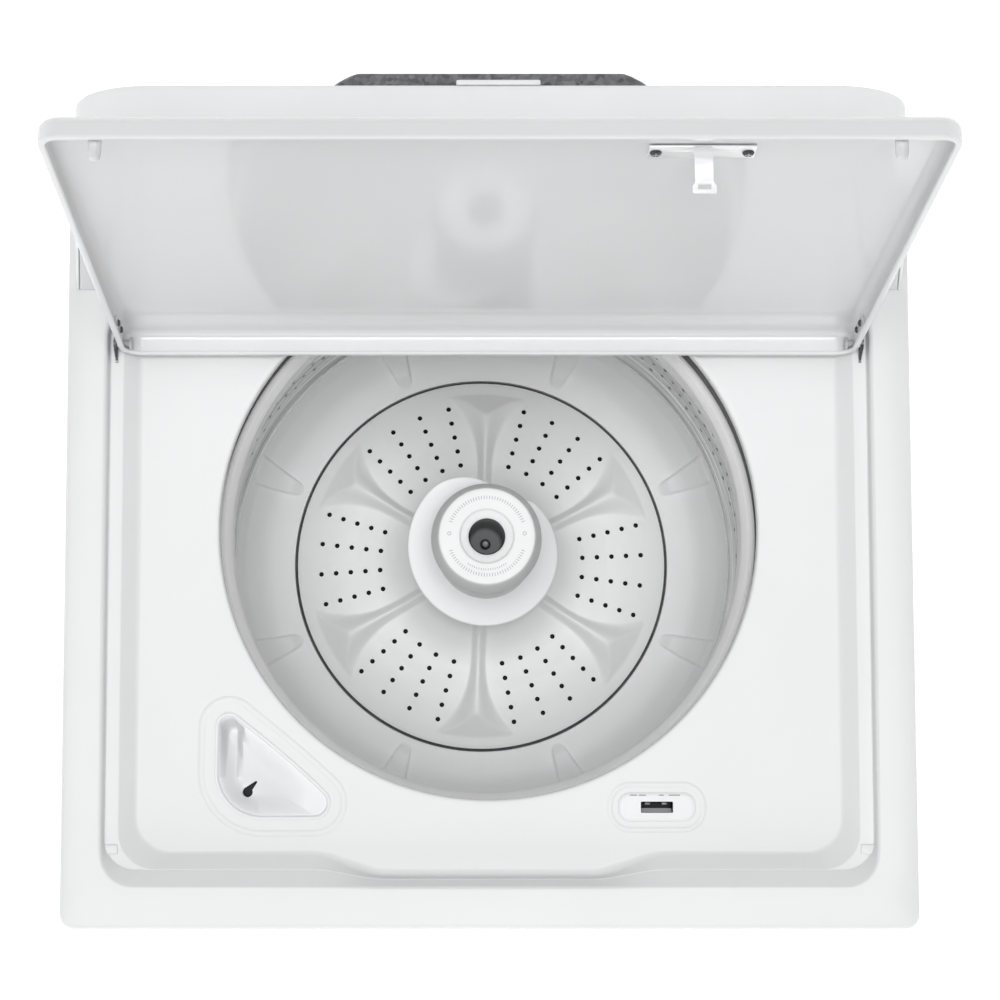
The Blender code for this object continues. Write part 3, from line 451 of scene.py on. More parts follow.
DARK_STEEL = rough_metal("dark_steel", (0.1, 0.105, 0.11), 0.42)
CAST = rough_metal("cast_aluminium", (0.6, 0.61, 0.62), 0.48, 500.0, 0.4)
RUBBER = rubber("black_rubber", (0.025, 0.025, 0.026))
# Near-black rubber finish for the ring of painted shade in the wash plate's gap.
GAP_SHADE_GREY = rubber("gap_shade_rubber", (0.055, 0.056, 0.058), 0.6)
# Softener well's sleeve: darker than the grey plastic, partly its own grey and partly painted shade of the
# deep well.
WELL_SHADED_GREY = moulded("well_plastic_shaded", (0.3, 0.305, 0.31), 0.45, 0.1, shine=0.1)
BOARD = board("circuit_board")
GREEN_LENS = moulded("lens", (0.1, 0.42, 0.2), 0.15, 0.02)


# ---- Deck --------------------------------------------------------------------------------
def edge_reach(angle, half, y0, y1, radius, scoop=0.0):
    """From the wash axis to a rounded rectangle; the scoop pushes the front's middle outwards."""
    dx, dy = math.cos(angle), math.sin(angle)
    near, far = 0.0, 1.0
    for _ in range(34):
        reach = (near + far) / 2
        x, y = reach * dx, AXIS_Y + reach * dy
        front = y0 - scoop * ease((0.146 - abs(x)) / 0.062)
        px = abs(x) - half + radius
        py = max(y - y1, front - y) + radius
        outside = math.hypot(max(px, 0), max(py, 0)) + min(max(px, py), 0) - radius
        if outside > 0:
            far = reach
        else:
            near = reach
    return (near + far) / 2


def opening_reach(angle, grow=0.0):
    reach = OPENING_R + grow
    if math.sin(angle) > 0.2:
        reach = soft_min(reach, (OPENING_REAR_Y + grow - AXIS_Y) / math.sin(angle), 0.01)
    return reach


def deck_angles():
    angles = {round(i * 0.75, 3) for i in range(480)}
    corners = [(0.316, -0.303, 3.6), (0.316, 0.168, 3.8), (HALF_WIDTH, FRONT_Y, 1.6),
               (HALF_WIDTH, REAR_Y, 1.6)]
    for x, y, spread in corners:
        for side in (-1, 1):
            middle = math.degrees(math.atan2(y - AXIS_Y, side * x)) % 360
            angles.update(round(middle + spread * step / 16, 3) for step in range(-16, 17))
    return [math.radians(a) for a in sorted(angles)]


def bleach_outline(grow):
    """Rounded three-cornered well: a tight upper end, a wide lower left turn, a tight right end."""
    first = arc(-0.2144, -0.1786, 0.0102 + grow, 42, 180, 16)
    last = arc(-0.144, -0.2416, 0.0125 + grow, -90, 48, 14)
    start, end = Vector(last[-1]), Vector(first[0])
    middle = Vector((-0.1668 + grow * 0.7, -0.204 + grow * 0.7))
    control = 2 * middle - (start + end) / 2
    sweep = []
    for i in range(1, 14):
        t = i / 14
        sweep.append(tuple(start * (1 - t) ** 2 + control * 2 * t * (1 - t) + end * t * t))
    return first + arc(-0.187, -0.216, 0.0383 + grow, 180, 270, 18)[1:] + last + sweep


def lock_outline(grow):
    return rounded_rectangle(STRIKE_X - 0.0312 - grow, STRIKE_X + 0.0312 + grow,
                             STRIKE_Y - 0.0112 - grow, STRIKE_Y + 0.0112 + grow, 0.0095 + grow)


def deck_section(angle):
    """From the opening's rolled lip, over the recess and its rim, down the outer skirt."""
    def reach(*box):
        return edge_reach(angle, *box)

    skirt = reach(HALF_WIDTH, FRONT_Y, REAR_Y, 0.012)
    corners = [(opening_reach(angle), LIP_Z, 0),
               (opening_reach(angle), FLOOR_Z, 0.0024),
               (opening_reach(angle, 0.007), FLOOR_Z, 0),
               (reach(0.291, -0.2826, 0.165, 0.03, 0.0178), FLOOR_Z, 0.009),
               (reach(0.3035, -0.295, 0.1675, 0.03, 0.008), LEDGE_Z, 0.0024),
               (reach(0.315, -0.2955, 0.168, 0.026, 0.0078), LEDGE_Z, 0.0016),
               (reach(0.316, -0.309, 0.17, 0.026), DECK_Z, 0.004),
               (skirt, DECK_Z, 0.0042),
               (skirt, LIP_Z, 0)]
    return filleted(corners, 5)


def build_deck():
    rings = []
    sheet = 0.0012
    for angle in deck_angles():
        line = deck_section(angle)
        under = []
        for i, p in enumerate(line):
            run = line[min(i + 1, len(line) - 1)] - line[max(i - 1, 0)]
            if run.length < 1e-9:
                run = Vector((1, 0))
            run.normalize()
            under.append(p + Vector((run.y, -run.x)) * sheet)
        full = line + list(reversed(under))
        rings.append([Vector((p.x * math.cos(angle), AXIS_Y + p.x * math.sin(angle), p.y)) for p in full])
    deck = obj_from("deck_top", loft(rings, loop=True), WHITE, 30)
    carve(deck, prism(bleach_outline(0.0004), FLOOR_Z - 0.006, FLOOR_Z + 0.004),
          prism(lock_outline(0.0004), FLOOR_Z - 0.006, FLOOR_Z + 0.004),
          bore(0.0125, shift(0, 0.245, DECK_Z)), sharp=30)
    settle(deck, "cabinet", ("deck_panel",))

    heights = (-0.0003, 0.0, 0.0003, 0.0004, 0.0003, 0.0, -0.0003)
    beads = (("bleach", bleach_outline, (0.0166, 0.015, 0.0136, 0.0122, 0.0108, 0.0094, 0.0078)),
             ("lock", lock_outline, (0.0112, 0.0098, 0.0085, 0.0073, 0.0061, 0.0049, 0.0036)))
    for name, outline, widths in beads:
        bead = loft(stacked(outline, zip(widths, heights), FLOOR_Z), caps=False)
        piece(name + "_emboss", bead, WHITE, "cabinet", sharp=70)
    for side, name in SIDES:
        notch = block(-0.0055, 0.0055, -0.004, 0.004, -0.0006, 0.001, 0.0009)
        piece("ledge_stop_" + name, moved(notch, shift(side * 0.3092, -0.279, LEDGE_Z)), WHITE,
              "cabinet")


def bleach_depth(x, y):
    """Depth of the well's floor: it falls to the drain, with a deeper channel up the left."""
    away = math.hypot(x + 0.199, (y + 0.233) * 0.9)
    slope = 0.019 - 0.016 * ease(away / 0.05)
    up = min(1.0, max(0.0, (y + 0.225) / 0.042))
    channel = 0.016 + 0.014 * up
    channel_edge = -0.2066 + 0.3 * min(0.0, y + 0.22)
    deep = ease((channel_edge - x) / 0.008 + 0.5)
    return slope + (channel - slope) * deep


def build_bleach_dispenser():
    centre = Vector((-0.196, -0.221))
    rim = [(0.0002, -0.0004), (0.0013, -0.0001), (0.0012, 0.0003), (0.0004, 0.0008), (-0.0006, 0.0008),
           (-0.0014, 0.0003), (-0.002, -0.0008), (-0.0023, -0.002)]
    rings = stacked(bleach_outline, [(-0.0004, -0.032)] + rim, FLOOR_Z)
    edge = [Vector(p) for p in bleach_outline(-0.0023)]
    steps = 70
    for k in range(1, steps + 1):
        t = k / steps
        s = 1 - t ** 1.15
        ring = []
        for p in edge:
            narrow = ease((p.y + 0.212) / 0.03) * ease((-0.196 - p.x) / 0.014)
            wall = ease(min(1.0, t / (0.62 - 0.36 * narrow)))
            q = centre + (p - centre) * max(s, 0.004)
            ring.append(Vector((q.x, q.y, FLOOR_Z - 0.002 - (bleach_depth(q.x, q.y) - 0.002) * wall)))
        rings.append(ring)
    tray = obj_from("bleach_tray", loft(rings), PLASTIC, 50)
    drain = [(-0.2034, -0.23)] + arc(-0.2002, -0.233, 0.0042, 140, 385, 14)
    drain += [(-0.192, -0.2246), (-0.1934, -0.2236)]
    carve(tray, prism(drain, FLOOR_Z - 0.031, FLOOR_Z - 0.004), solver="EXACT", sharp=50)
    settle(tray, "cabinet", ("bleach_dispenser",))
    # Black plug down in the drain hole: painted shade, so the hole reads dark instead of showing the lit
    # parts beneath.
    drain_shade = prism(drain, FLOOR_Z - 0.0308, FLOOR_Z - 0.023)
    piece("bleach_drain_shade", drain_shade, BLACK, "cabinet")


def build_lid_lock():
    """Bezel round the slot, and under it the body with its ramp and contacts."""
    x, y, z = STRIKE_X, STRIKE_Y, FLOOR_Z
    rim = [(-0.0008, -0.004), (0.0004, -0.0003), (0.001, -0.0001), (0.0008, 0.0003), (-0.0004, 0.0009),
           (-0.0016, 0.0011), (-0.0031, 0.0011)]
    bezel = obj_from("lock_bezel", loft(stacked(lock_outline, rim, z)), PLASTIC, 45)
    carve(bezel, block(x - 0.0133, x + 0.0133, y - 0.0046, y + 0.0046, z - 0.01, z + 0.005, 0.0008))
    settle(bezel, "cabinet", ("lid_lock_housing",))
    case = block(x - 0.035, x + 0.037, y - 0.018, y + 0.024, z - 0.028, z - 0.0045, 0.0015)
    body = obj_from("lock_body", case, BLACK)
    carve(body, block(x - 0.0131, x + 0.0131, y - 0.0044, y + 0.0044, z - 0.0178, z + 0.004),
          block(x - 0.0034, x + 0.0034, y - 0.009, y + 0.0225, z - 0.0053, z + 0.002), solver="EXACT")
    settle(body, "cabinet")
    wedge = ((-0.0044, -0.0058), (-0.0044, -0.012), (-0.001, -0.012))
    ramp = loft([[Vector((x + s * 0.0128, y + dy, z + dz)) for dy, dz in wedge] for s in (-1, 1)])
    piece("lock_ramp", ramp, PLASTIC, "cabinet")
    for s, name in SIDES:
        rib = block(-0.0024, 0.0024, 0.0016, 0.004, -0.012, -0.009, 0.0004)
        piece("lock_contact_" + name, moved(rib, shift(x + s * 0.007, y, z)), DARK_STEEL, "cabinet")
    # Thin black strips along the bezel's upper edge: painted shade of the shadow gap between the deck's hole
    # and the bezel.
    gap_shade_strips = []
    for left, right in ((-0.0222, -0.0164), (-0.0148, -0.009), (0.0016, 0.0056), (0.0098, 0.019)):
        gap_shade_strips.append(moved(block(left, right, 0.0096, 0.0101, 0.001, 0.0013), shift(x, y, z)))
    piece("lock_gap_shade", joined(*gap_shade_strips), BLACK, "cabinet")


# ---- Lid ---------------------------------------------------------------------------------
HINGE = Matrix.Translation((0, PIN_Y, PIN_Z)) @ Matrix.Rotation(-LID_OPEN, 4, "X")


def lid_top(y):
    return 0.01 + 0.005 * (y - LID_FRONT) / (LID_REAR - LID_FRONT)


def lid_ring(inset, height, follow):
    """Outline of the lid; follow adds the skin's own rise to the height."""
    x, front, rear = LID_HALF_WIDTH, LID_FRONT, LID_REAR
    a, b = max(0.016 - inset, 0.002), max(0.02 - inset, 0.002)
    outline = (arc(x - inset - a, front + inset + a, a, -90, 0, 10)
               + arc(x - inset - b, rear - inset - b, b, 0, 90, 10)
               + arc(-x + inset + b, rear - inset - b, b, 90, 180, 10)
               + arc(-x + inset + a, front + inset + a, a, 180, 270, 10))
    return [Vector((px, py, height + (lid_top(py) if follow else 0.0))) for px, py in outline]


def screw_head(radius, height, sides=20):
    """Pan head with a crossed recess."""
    head = turned([(radius, 0.0, 0), (radius, height * 0.35, height * 0.2),
                   (radius * 0.7, height, height * 0.4), (radius * 0.05, height, 0)], sides)
    long, thin = radius * 0.62, radius * 0.1
    bars = [block(-x, x, -y, y, height * 0.98, height * 1.06) for x, y in ((long, thin), (thin, long))]
    return head, joined(*bars)


def screw(name, radius, height, at, body, mat=BRIGHT, mark=BLACK):
    head, bars = screw_head(radius, height)
    piece(name, head, mat, body, at=at)
    piece(name + "_drive", bars, mark, body, at=at)


def screw_group(heads_name, drives_name, radius, height, places, washer=None):
    """Like screws on the cabinet as one piece, and their drives as another."""
    heads, drives = [], []
    for place in places:
        head, bars = screw_head(radius, height, 16)
        if washer:
            heads.append(moved(turned(washer, 20), place))
        heads.append(moved(head, place))
        drives.append(moved(bars, place))
    piece(heads_name, joined(*heads), BRIGHT, "cabinet")
    piece(drives_name, joined(*drives), BLACK, "cabinet")


def build_lid():
    t = LID_SHEET
    rings = [lid_ring(0.03, -t, True)]
    for k in range(7):
        a = math.radians(90 * k / 6)
        rings.append(lid_ring(t + 0.0085 - 0.0085 * math.sin(a), -t - 0.0065 + 0.0065 * math.cos(a), True))
    hem = 0.0052
    rim = ((t, 0.0034), (t + 0.0004, 0.0031), (hem - 0.0006, 0.0029), (hem, 0.0022), (hem, 0.0009),
           (hem - 0.0007, 0.0001), (hem - 0.0015, 0.0), (0.0016, 0.0), (0.0006, 0.0004), (0.0, 0.0014))
    rings += [lid_ring(inset, LID_RIM + rise, False) for inset, rise in rim]
    for k in range(7):
        a = math.radians(90 * k / 6)
        rings.append(lid_ring(0.007 - 0.007 * math.cos(a), -0.007 + 0.007 * math.sin(a), True))
    rings.append(lid_ring(0.03, 0.0, True))
    piece("lid_skin", loft(rings), LID_WHITE, "lid", ("lid_panel",), HINGE, 28)
    build_strike()
    for side, name in SIDES:
        face = lid_top(BUMPER_Y) - t
        offset = 0.0024 * (side - 1) / 2
        bumper = turned([(0.0062, face + 0.0002, 0), (0.0062, face - 0.003, 0.001), (0.0046, face - 0.004, 0),
                         (0.0044, -0.012, 0.0), (0.0034, -0.0168, 0.0018), (0.0008, -0.0172, 0)], 28)
        piece("lid_bumper_tip_" + name, bumper, BUMPER_PALE, "lid", ("lid_bumper_" + name,),
              HINGE @ shift(offset + side * 0.266, BUMPER_Y, 0))
        ridge = []
        for dx, k in ((0.0, 1.0), (-0.012, 0.8), (-0.024, 0.45), (-0.036, 0.12)):
            section = ((-0.0045 * k - 0.0003, -0.0004), (-0.002 * k, 0.0022 * k), (0.002 * k, 0.0022 * k),
                       (0.0045 * k + 0.0003, -0.0004))
            ridge.append([Vector((side * dx, y, face - rise)) for y, rise in section])
        piece("lid_bumper_rib_" + name, loft(ridge), LID_WHITE, "lid",
              at=HINGE @ shift(offset + side * 0.262, BUMPER_Y, 0), sharp=60)
        across = turn(side * 90, "Y")
        pin = turned([(0.003, 0.3115, 0), (0.003, 0.298, 0), (0.0056, 0.298, 0.0006), (0.005, 0.2956, 0.0008),
                      (0.0006, 0.2952, 0)], 28)
        piece("hinge_pin_turned_" + name, pin, GREY, "lid", ("hinge_pin_" + name,),
              HINGE @ across)
        plate = prism(rounded_rectangle(-0.0045, 0.0105, -0.046, 0.008, 0.0045, 6), 0.303, 0.3043)
        plate = moved(plate, Matrix(((0, 0, side, 0), (0, 1, 0, 0), (1, 0, 0, 0), (0, 0, 0, 1))))
        piece("hinge_leaf_" + name, plate, LID_WHITE, "lid", at=HINGE)
        for i, py in enumerate((-0.036, -0.02)):
            screw("hinge_screw_%s_%d" % (name, i + 1), 0.0029, 0.0016,
                  HINGE @ shift(side * 0.303, py, 0.005) @ turn(-side * 90, "Y"), "lid", DARK_STEEL)
        build_hinge_bracket(side, name)


def build_strike():
    """Screwed plate, and a tongue whose foot has the bolt's window."""
    y = STRIKE_Y - PIN_Y
    face = lid_top(y) - LID_SHEET - 0.0006
    plate = obj_from("strike_plate", block(STRIKE_X - 0.0365, STRIKE_X + 0.0365, y - 0.001, y + 0.018,
                                           face - 0.0016, face, 0.0005), SATIN)
    foot = [(-0.0062, face - 0.001), (-0.0062, face - 0.027), (-0.008, face - 0.03),
            (-0.008, face - 0.0345), (-0.0074, face - 0.035), (0.0074, face - 0.035),
            (0.008, face - 0.0345), (0.008, face - 0.03), (0.0062, face - 0.027), (0.0062, face - 0.001)]
    tongue = loft([[Vector((STRIKE_X + x, y + dy, z)) for x, z in foot] for dy in (-0.001, 0.001)])
    carve(plate, tongue, operation="UNION", solver="EXACT")
    z = FLOOR_Z - 0.0048 - PIN_Z
    carve(plate, block(STRIKE_X - 0.0045, STRIKE_X + 0.0045, y - 0.004, y + 0.004, z - 0.0008, z + 0.0032),
          solver="EXACT")
    plate.matrix_world = HINGE
    settle(plate, "lid", ("lid_strike",))
    for side, name in SIDES:
        screw("strike_screw_" + name, 0.0041, 0.0022,
              HINGE @ shift(STRIKE_X + side * 0.0315, y + 0.0085, face - 0.0016) @ turn(180, "X"), "lid",
              DARK_STEEL, BRIGHT)


def build_hinge_bracket(side, name):
    foot = LEDGE_Z + 0.0003 - PIN_Z
    outline = [(0.015, foot), (0.015, foot + 0.0012)] + arc(0.014, foot + 0.0052, 0.004, -90, -150, 4)
    outline += arc(0, 0, 0.007, 10, 170, 14) + [(-x, z) for x, z in reversed(outline[2:])]
    outline += [(-0.015, foot + 0.0012), (-0.015, foot)]
    bracket = obj_from("hinge_lug_" + name, loft([[Vector((x, PIN_Y + y, PIN_Z + z)) for y, z in outline]
                                                  for x in (side * 0.3085, side * 0.3105)]), DARK_STEEL)
    carve(bracket, moved(turned([(0.0033, 0.3, 0), (0.0033, 0.32, 0)], 28),
                         shift(0, PIN_Y, PIN_Z) @ turn(side * 90, "Y")), solver="EXACT")
    settle(bracket, "cabinet", ("hinge_bracket_" + name,))


# ---- Cabinet, back, feet -----------------------------------------------------------------
def build_cabinet():
    def wrap(inset):
        x, y0, y1 = HALF_WIDTH - 0.0023 - inset, FRONT_Y + 0.0023 + inset, REAR_Y - 0.0023 - inset
        c = 0.013 - inset
        return ([(-0.31, y1)] + arc(-x + c, y1 - c, c, 90, 180, 10) + arc(-x + c, y0 + c, c, 180, 270, 10)
                + arc(x - c, y0 + c, c, 270, 360, 10) + arc(x - c, y1 - c, c, 0, 90, 10) + [(0.31, y1)])

    low, high = 0.046, DECK_Z - 0.0023
    levels = [(0.0016, low), (0.0002, low), (0.0, low + 0.0008), (0.0, low + 0.018), (0.0009, low + 0.019),
              (0.0009, low + 0.0205), (0.0, low + 0.0215), (0.0, high), (0.0016, high)]
    piece("cabinet_wrap", loft(stacked(wrap, levels), caps=False, closed=False), WHITE, "cabinet",
          ("cabinet_shell",), sharp=30)
    for side, name in SIDES:
        screw("kick_screw_" + name, 0.005, 0.0014,
              shift(side * 0.3, FRONT_Y + 0.0024, 0.055) @ turn(90, "X"), "cabinet")
        inner = block(-0.0006, 0.0006, -0.01, 0.01, 0.052, LIP_Z - 0.004)
        piece("rear_flange_" + name, moved(inner, shift(side * 0.3095, REAR_Y - 0.013, 0)), WHITE, "cabinet")


def build_rear_panel():
    """Pressed back panel: two framed fields, louvres, screws and its drain hole."""
    y0, y1 = REAR_Y - 0.0015, REAR_Y - 0.0005
    panel = obj_from("back_panel", block(-0.34, 0.34, y0, y1, 0.052, LIP_Z - 0.002, 0.0003, 2), GALVANISED)
    carve(panel, bore(0.0175, shift(DRAIN_X, REAR_Y - 0.001, DRAIN_Z) @ turn(90, "X")))
    settle(panel, "cabinet", ("rear_panel",))

    profile = ((-0.008, -0.0003), (-0.0048, 0.00225), (-0.0024, 0.003), (0.0024, 0.003),
               (0.0048, 0.00225), (0.008, -0.0003))
    for name, x0, z0, z1 in (("lower", -0.235, 0.13, 0.4), ("upper", -0.175, 0.465, 0.8)):
        rings = [[Vector((x, y1 + dy, z)) for x, z in
                  rounded_rectangle(x0 - grow, 0.235 + grow, z0 - grow, z1 + grow, 0.035 + grow)]
                 for grow, dy in profile]
        piece("back_frame_" + name, loft(rings, caps=False), GALVANISED, "cabinet",
              sharp=60)
    slats = []
    for k in range(9):
        z = 0.52 + k * 0.026
        rings = []
        for x, s in ((-0.095, 0.05), (-0.09, 0.8), (-0.08, 1.0), (0.08, 1.0), (0.09, 0.8), (0.095, 0.05)):
            section = ((-0.0003, -0.007), (0.0018 * s, -0.005 * s), (0.0034 * s, 0.003 * s),
                       (0.003 * s, 0.0056 * s), (-0.0003, 0.0058))
            rings.append([Vector((x + 0.03, y1 + dy, z + dz)) for dy, dz in section])
        slats.append(loft(rings))
    piece("back_louvres", joined(*slats), GALVANISED, "cabinet", sharp=50)
    places = [(x, z) for z in (0.064, 0.866) for x in (-0.3, -0.1, 0.1, 0.3)]
    places += [(x, z) for x in (-0.328, 0.328) for z in (0.25, 0.45, 0.65)]
    screw_group("back_screws", "back_screw_drives", 0.0045, 0.0026,
                [shift(x, y1, z) @ turn(-90, "X") for x, z in places],
                [(0.007, 0.0, 0), (0.007, 0.0008, 0.0003), (0.0005, 0.0009, 0)])


def build_feet():
    for name in CORNERS:
        low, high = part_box("levelling_foot_" + name)
        x, y = (low[0] + high[0]) / 2, (low[1] + high[1]) / 2
        pad = [(0.0165, 0.0, 0), (0.019, 0.0018, 0.001), (0.019, 0.009, 0.0012), (0.012, 0.0128, 0.001),
               (0.0001, 0.013, 0)]
        foot = turned(pad, 40)
        grips = [moved(block(0.0176, 0.0192, -0.0012, 0.0012, 0.0025, 0.0082, 0.0004),
                       turn(30 * k, "Z")) for k in range(12)]
        piece("foot_pad_" + name, joined(foot, *grips), GREY, "cabinet", ("levelling_foot_" + name,),
              shift(x, y, 0))
        nut_line = ((0.01, 0.013), (0.0108, 0.0136), (0.0108, 0.0194), (0.01, 0.02))
        nut = loft([circle(r, z, 6) for r, z in nut_line])
        thread = []
        for k in range(41):
            z = 0.02 + k * 0.0011
            thread += [(0.0042, z, 0), (0.0048, z + 0.00055, 0)]
        stem = turned([(0.0042, 0.013, 0)] + thread + [(0.0036, 0.066, 0)], 18, steps=1)
        piece("foot_stem_" + name, joined(nut, stem), BRIGHT, "cabinet",
              at=shift(x, y, 0), sharp=30)


# ---- Console -----------------------------------------------------------------------------
def arch(inset, steps=14):
    """The console's front view: a rounded arch that widens a little to its foot."""
    side = []
    for k in range(7):
        t = k / 6
        side.append((0.343 - 0.012 * t - inset, 0.083 * t ** 1.02))
    for k in range(1, steps + 1):
        a = math.radians(90 * k / steps)
        side.append((0.262 + (0.069 - inset) * math.cos(a) ** 0.96 if k < steps else 0.262,
                     0.085 + (0.07 - inset) * math.sin(a)))
    return side + [(-x, z) for x, z in reversed(side)]


def console_front(z):
    return CONSOLE_FOOT_Y + (CONSOLE_TOP_Y - CONSOLE_FOOT_Y) * z / CONSOLE_H


def on_deck(x, y, z):
    return Vector((x, y, DECK_Z + 0.0003 + z))


def control_place(x, out=0.0):
    return Matrix.Translation(on_deck(x, console_front(CONTROLS_Z) + 0.0005, CONTROLS_Z)) @ \
        Matrix.Rotation(math.pi / 2 - FASCIA_TILT, 4, "X") @ shift(0, 0, out)


def build_console():
    def ring(inset, front, back):
        made = []
        for x, z in arch(inset):
            y = console_front(z) + front if back is None else CONSOLE_BACK_Y - back
            made.append(on_deck(x, y, max(z, 0.0)))
        return made

    wall, r = CONSOLE_WALL, 0.0045
    rings = [ring(wall, 0.01, None), ring(wall, 0.0006, None), ring(wall - 0.0006, 0.0, None)]
    for k in range(1, 7):
        a = math.radians(90 * k / 6)
        rings.append(ring(max(0.0024 * (1 - math.sin(a)), 0.0), r * (1 - math.cos(a)), None))
    rings += [ring(0.0, 0.0, 0.0035), ring(0.0004, 0.0, 0.0012), ring(0.0016, 0.0, 0.0), ring(wall, 0.0, 0.0),
              ring(wall, 0.0, 0.006)]
    piece("console_hood", loft(rings, caps=False, closed=False), PLASTIC, "cabinet", ("console_housing",),
          sharp=50)

    def plate_ring(inset, depth):
        return [on_deck(x, console_front(z) + depth, z + (inset - wall if z < 0.01 else 0))
                for x, z in arch(inset)]

    steps = ((0.004, 0.003), (0.0003, 0.003), (0.0003, 0.0012), (0.001, 0.0005))
    fascia = obj_from("console_face", loft([plate_ring(wall + grow, depth) for grow, depth in steps]),
                      PLASTIC)
    holes = sorted([(dial[2], 0.0036) for dial in DIALS] + [(START_X, 0.0093)])
    carve(fascia, *[bore(radius, control_place(x), 0.02) for x, radius in holes], solver="EXACT")
    settle(fascia, "cabinet", ("console_fascia",))
    build_console_marks()
    build_rear_cover()


def build_console_marks():
    """Raised grey marks round the dials, two seam lines and four small lamps; no lettering."""
    bars = []
    scales = ((-0.215, 0.0255, 7, -60, 60), (-0.1, 0.0255, 7, -60, 60), (0.205, 0.0365, 24, 0, 345))
    for x, radius, count, first, last in scales:
        for k in range(count):
            a = first + (last - first) * k / (count - 1)
            long = 0.0042 if k % 3 == 0 else 0.0026
            bar = block(-0.0005, 0.0005, radius, radius + long, -0.0001, 0.0003)
            bars.append(moved(bar, control_place(x) @ turn(-a, "Z")))
    ring = turned([(0.012, -0.0001, 0), (0.012, 0.0004, 0.0001), (0.013, 0.0004, 0.0001),
                   (0.013, -0.0001, 0)], 40)
    bars.append(moved(ring, control_place(START_X)))
    piece("console_marks", joined(*bars), MARK_GREY, "cabinet")
    lamps = []
    for k in range(4):
        lens = turned([(0.002, -0.0004, 0), (0.002, 0.0006, 0.0004), (0.0002, 0.0009, 0)], 20)
        lamps.append(moved(lens, control_place(-0.02 + k * 0.018)))
    piece("console_lamps", joined(*lamps), GREEN_LENS, "cabinet")
    z = 0.128
    place = Matrix.Translation(on_deck(0, console_front(z) + 0.0005, z))
    place = place @ turn(-math.degrees(FASCIA_TILT), "X")
    line = [moved(block(x0, x1, -0.0002, 0.0002, -0.0006, 0.0006), place)
            for x0, x1 in ((-0.268, -0.048), (0.14, 0.27))]
    piece("console_line", joined(*line), MARK_GREY, "cabinet")


def knob_mesh(size, ribs):
    """Dial with a fluted side and a raised grip across its face."""
    rings = []
    count = ribs * 8
    profile = ((0.0033, -0.012, 0), (0.0033, 0.0008, 0), (size - 0.0006, 0.0008, 0), (size, 0.0016, 0.3),
               (size - 0.0003, 0.003, 1), (size - 0.001, 0.01, 1), (size - 0.0018, 0.0122, 0.5),
               (size - 0.003, 0.0134, 0), (size - 0.005, 0.0138, 0), (size - 0.006, 0.0132, 0),
               (0.0004, 0.0132, 0))
    for radius, z, depth in profile:
        ring = []
        for i in range(count):
            a = 2 * math.pi * i / count
            wave = max(0.0, math.cos(ribs * a)) ** 2 * 0.0007 * depth
            ring.append(polar(radius - wave, a, z))
        rings.append(ring)
    dial = loft(rings)
    grip = block(-0.0036, 0.0036, -size * 0.84, size * 0.84, 0.011, 0.02, 0.0016, 4)
    return joined(dial, grip)


def build_controls():
    for name, body, x, size, ribs in DIALS:
        piece(name.replace("knob", "grip"), knob_mesh(size, ribs), KNOB_PALE, body, (name,),
              control_place(x), sharp=45)
        mark = block(-0.0006, 0.0006, size * 0.45, size * 0.8, 0.0199, 0.0201)
        piece(name.replace("knob", "pointer"), mark, MARK_GREY, body,
              at=control_place(x))
    key = turned([(0.0088, -0.007, 0), (0.009, 0.003, 0), (0.009, 0.004, 0.001), (0.006, 0.0045, 0.003),
                  (0.0002, 0.0036, 0)], 48)
    place = control_place(START_X)
    piece("start_key_cap", key, KNOB_PALE, "start_key", ("start_button",), place)
    sign = prism([(-0.0018, -0.0026), (0.003, 0.0), (-0.0018, 0.0026)], 0.0034, 0.0042)
    piece("start_key_sign", sign, MARK_GREY, "start_key", at=place)


def build_rear_cover():
    """Galvanised back of the console, with a raised box, port holes and screws; the clip above it."""
    back = CONSOLE_BACK_Y
    plate = arch(CONSOLE_WALL + 0.0003)
    rings = [[on_deck(x, back - y, z) for x, z in plate] for y in (0.0016, 0.0004)]
    cover = obj_from("console_back", loft(rings), GALVANISED, 30)

    def box_rings(levels):
        return [[on_deck(x, y, z) for x, z in rounded_rectangle(-half, half, low, high, r, 5)]
                for half, low, high, y, r in levels]

    bulge = ((0.1417, 0.012, 0.105, back - 0.001, 0.006), (0.1402, 0.0125, 0.1046, back + 0.001, 0.006),
             (0.131, 0.0155, 0.1025, 0.3232, 0.006), (0.1215, 0.018, 0.1012, 0.3308, 0.005),
             (0.113, 0.0198, 0.1003, 0.3356, 0.005), (0.108, 0.0205, 0.0995, 0.3374, 0.004))
    hollow = ((0.1387, 0.015, 0.102, back - 0.004, 0.004), (0.1062, 0.0217, 0.0983, 0.3348, 0.003))
    carve(cover, loft(box_rings(bulge)), operation="UNION", solver="EXACT")
    carve(cover, loft(box_rings(hollow)), solver="EXACT")
    holes = [(x, 0.06, 0.014) for x, _ in INLETS] + [(GLAND_X, 0.055, 0.01)]
    carve(cover, *[bore(radius, Matrix.Translation(on_deck(x, back, z)) @ turn(90, "X"))
                   for x, z, radius in holes], solver="EXACT", sharp=30)
    settle(cover, "cabinet", ("console_rear_cover",))
    places = ((-0.3, 0.02), (-0.3, 0.095), (-0.18, 0.135), (0.18, 0.135), (0.3, 0.11), (0.31, 0.02),
              (-0.15, 0.02), (0.15, 0.02))
    screw_group("console_back_screws", "console_back_drives", 0.0044, 0.0024,
                [Matrix.Translation(on_deck(x, back - 0.0006, z)) @ turn(-90, "X") for x, z in places])
    tab = block(-0.0275, 0.0375, back + 0.0003, 0.317, DECK_Z + 0.1435, DECK_Z + 0.155, 0.0012)
    piece("console_tab", tab, PLASTIC, "cabinet", ("console_clip",))


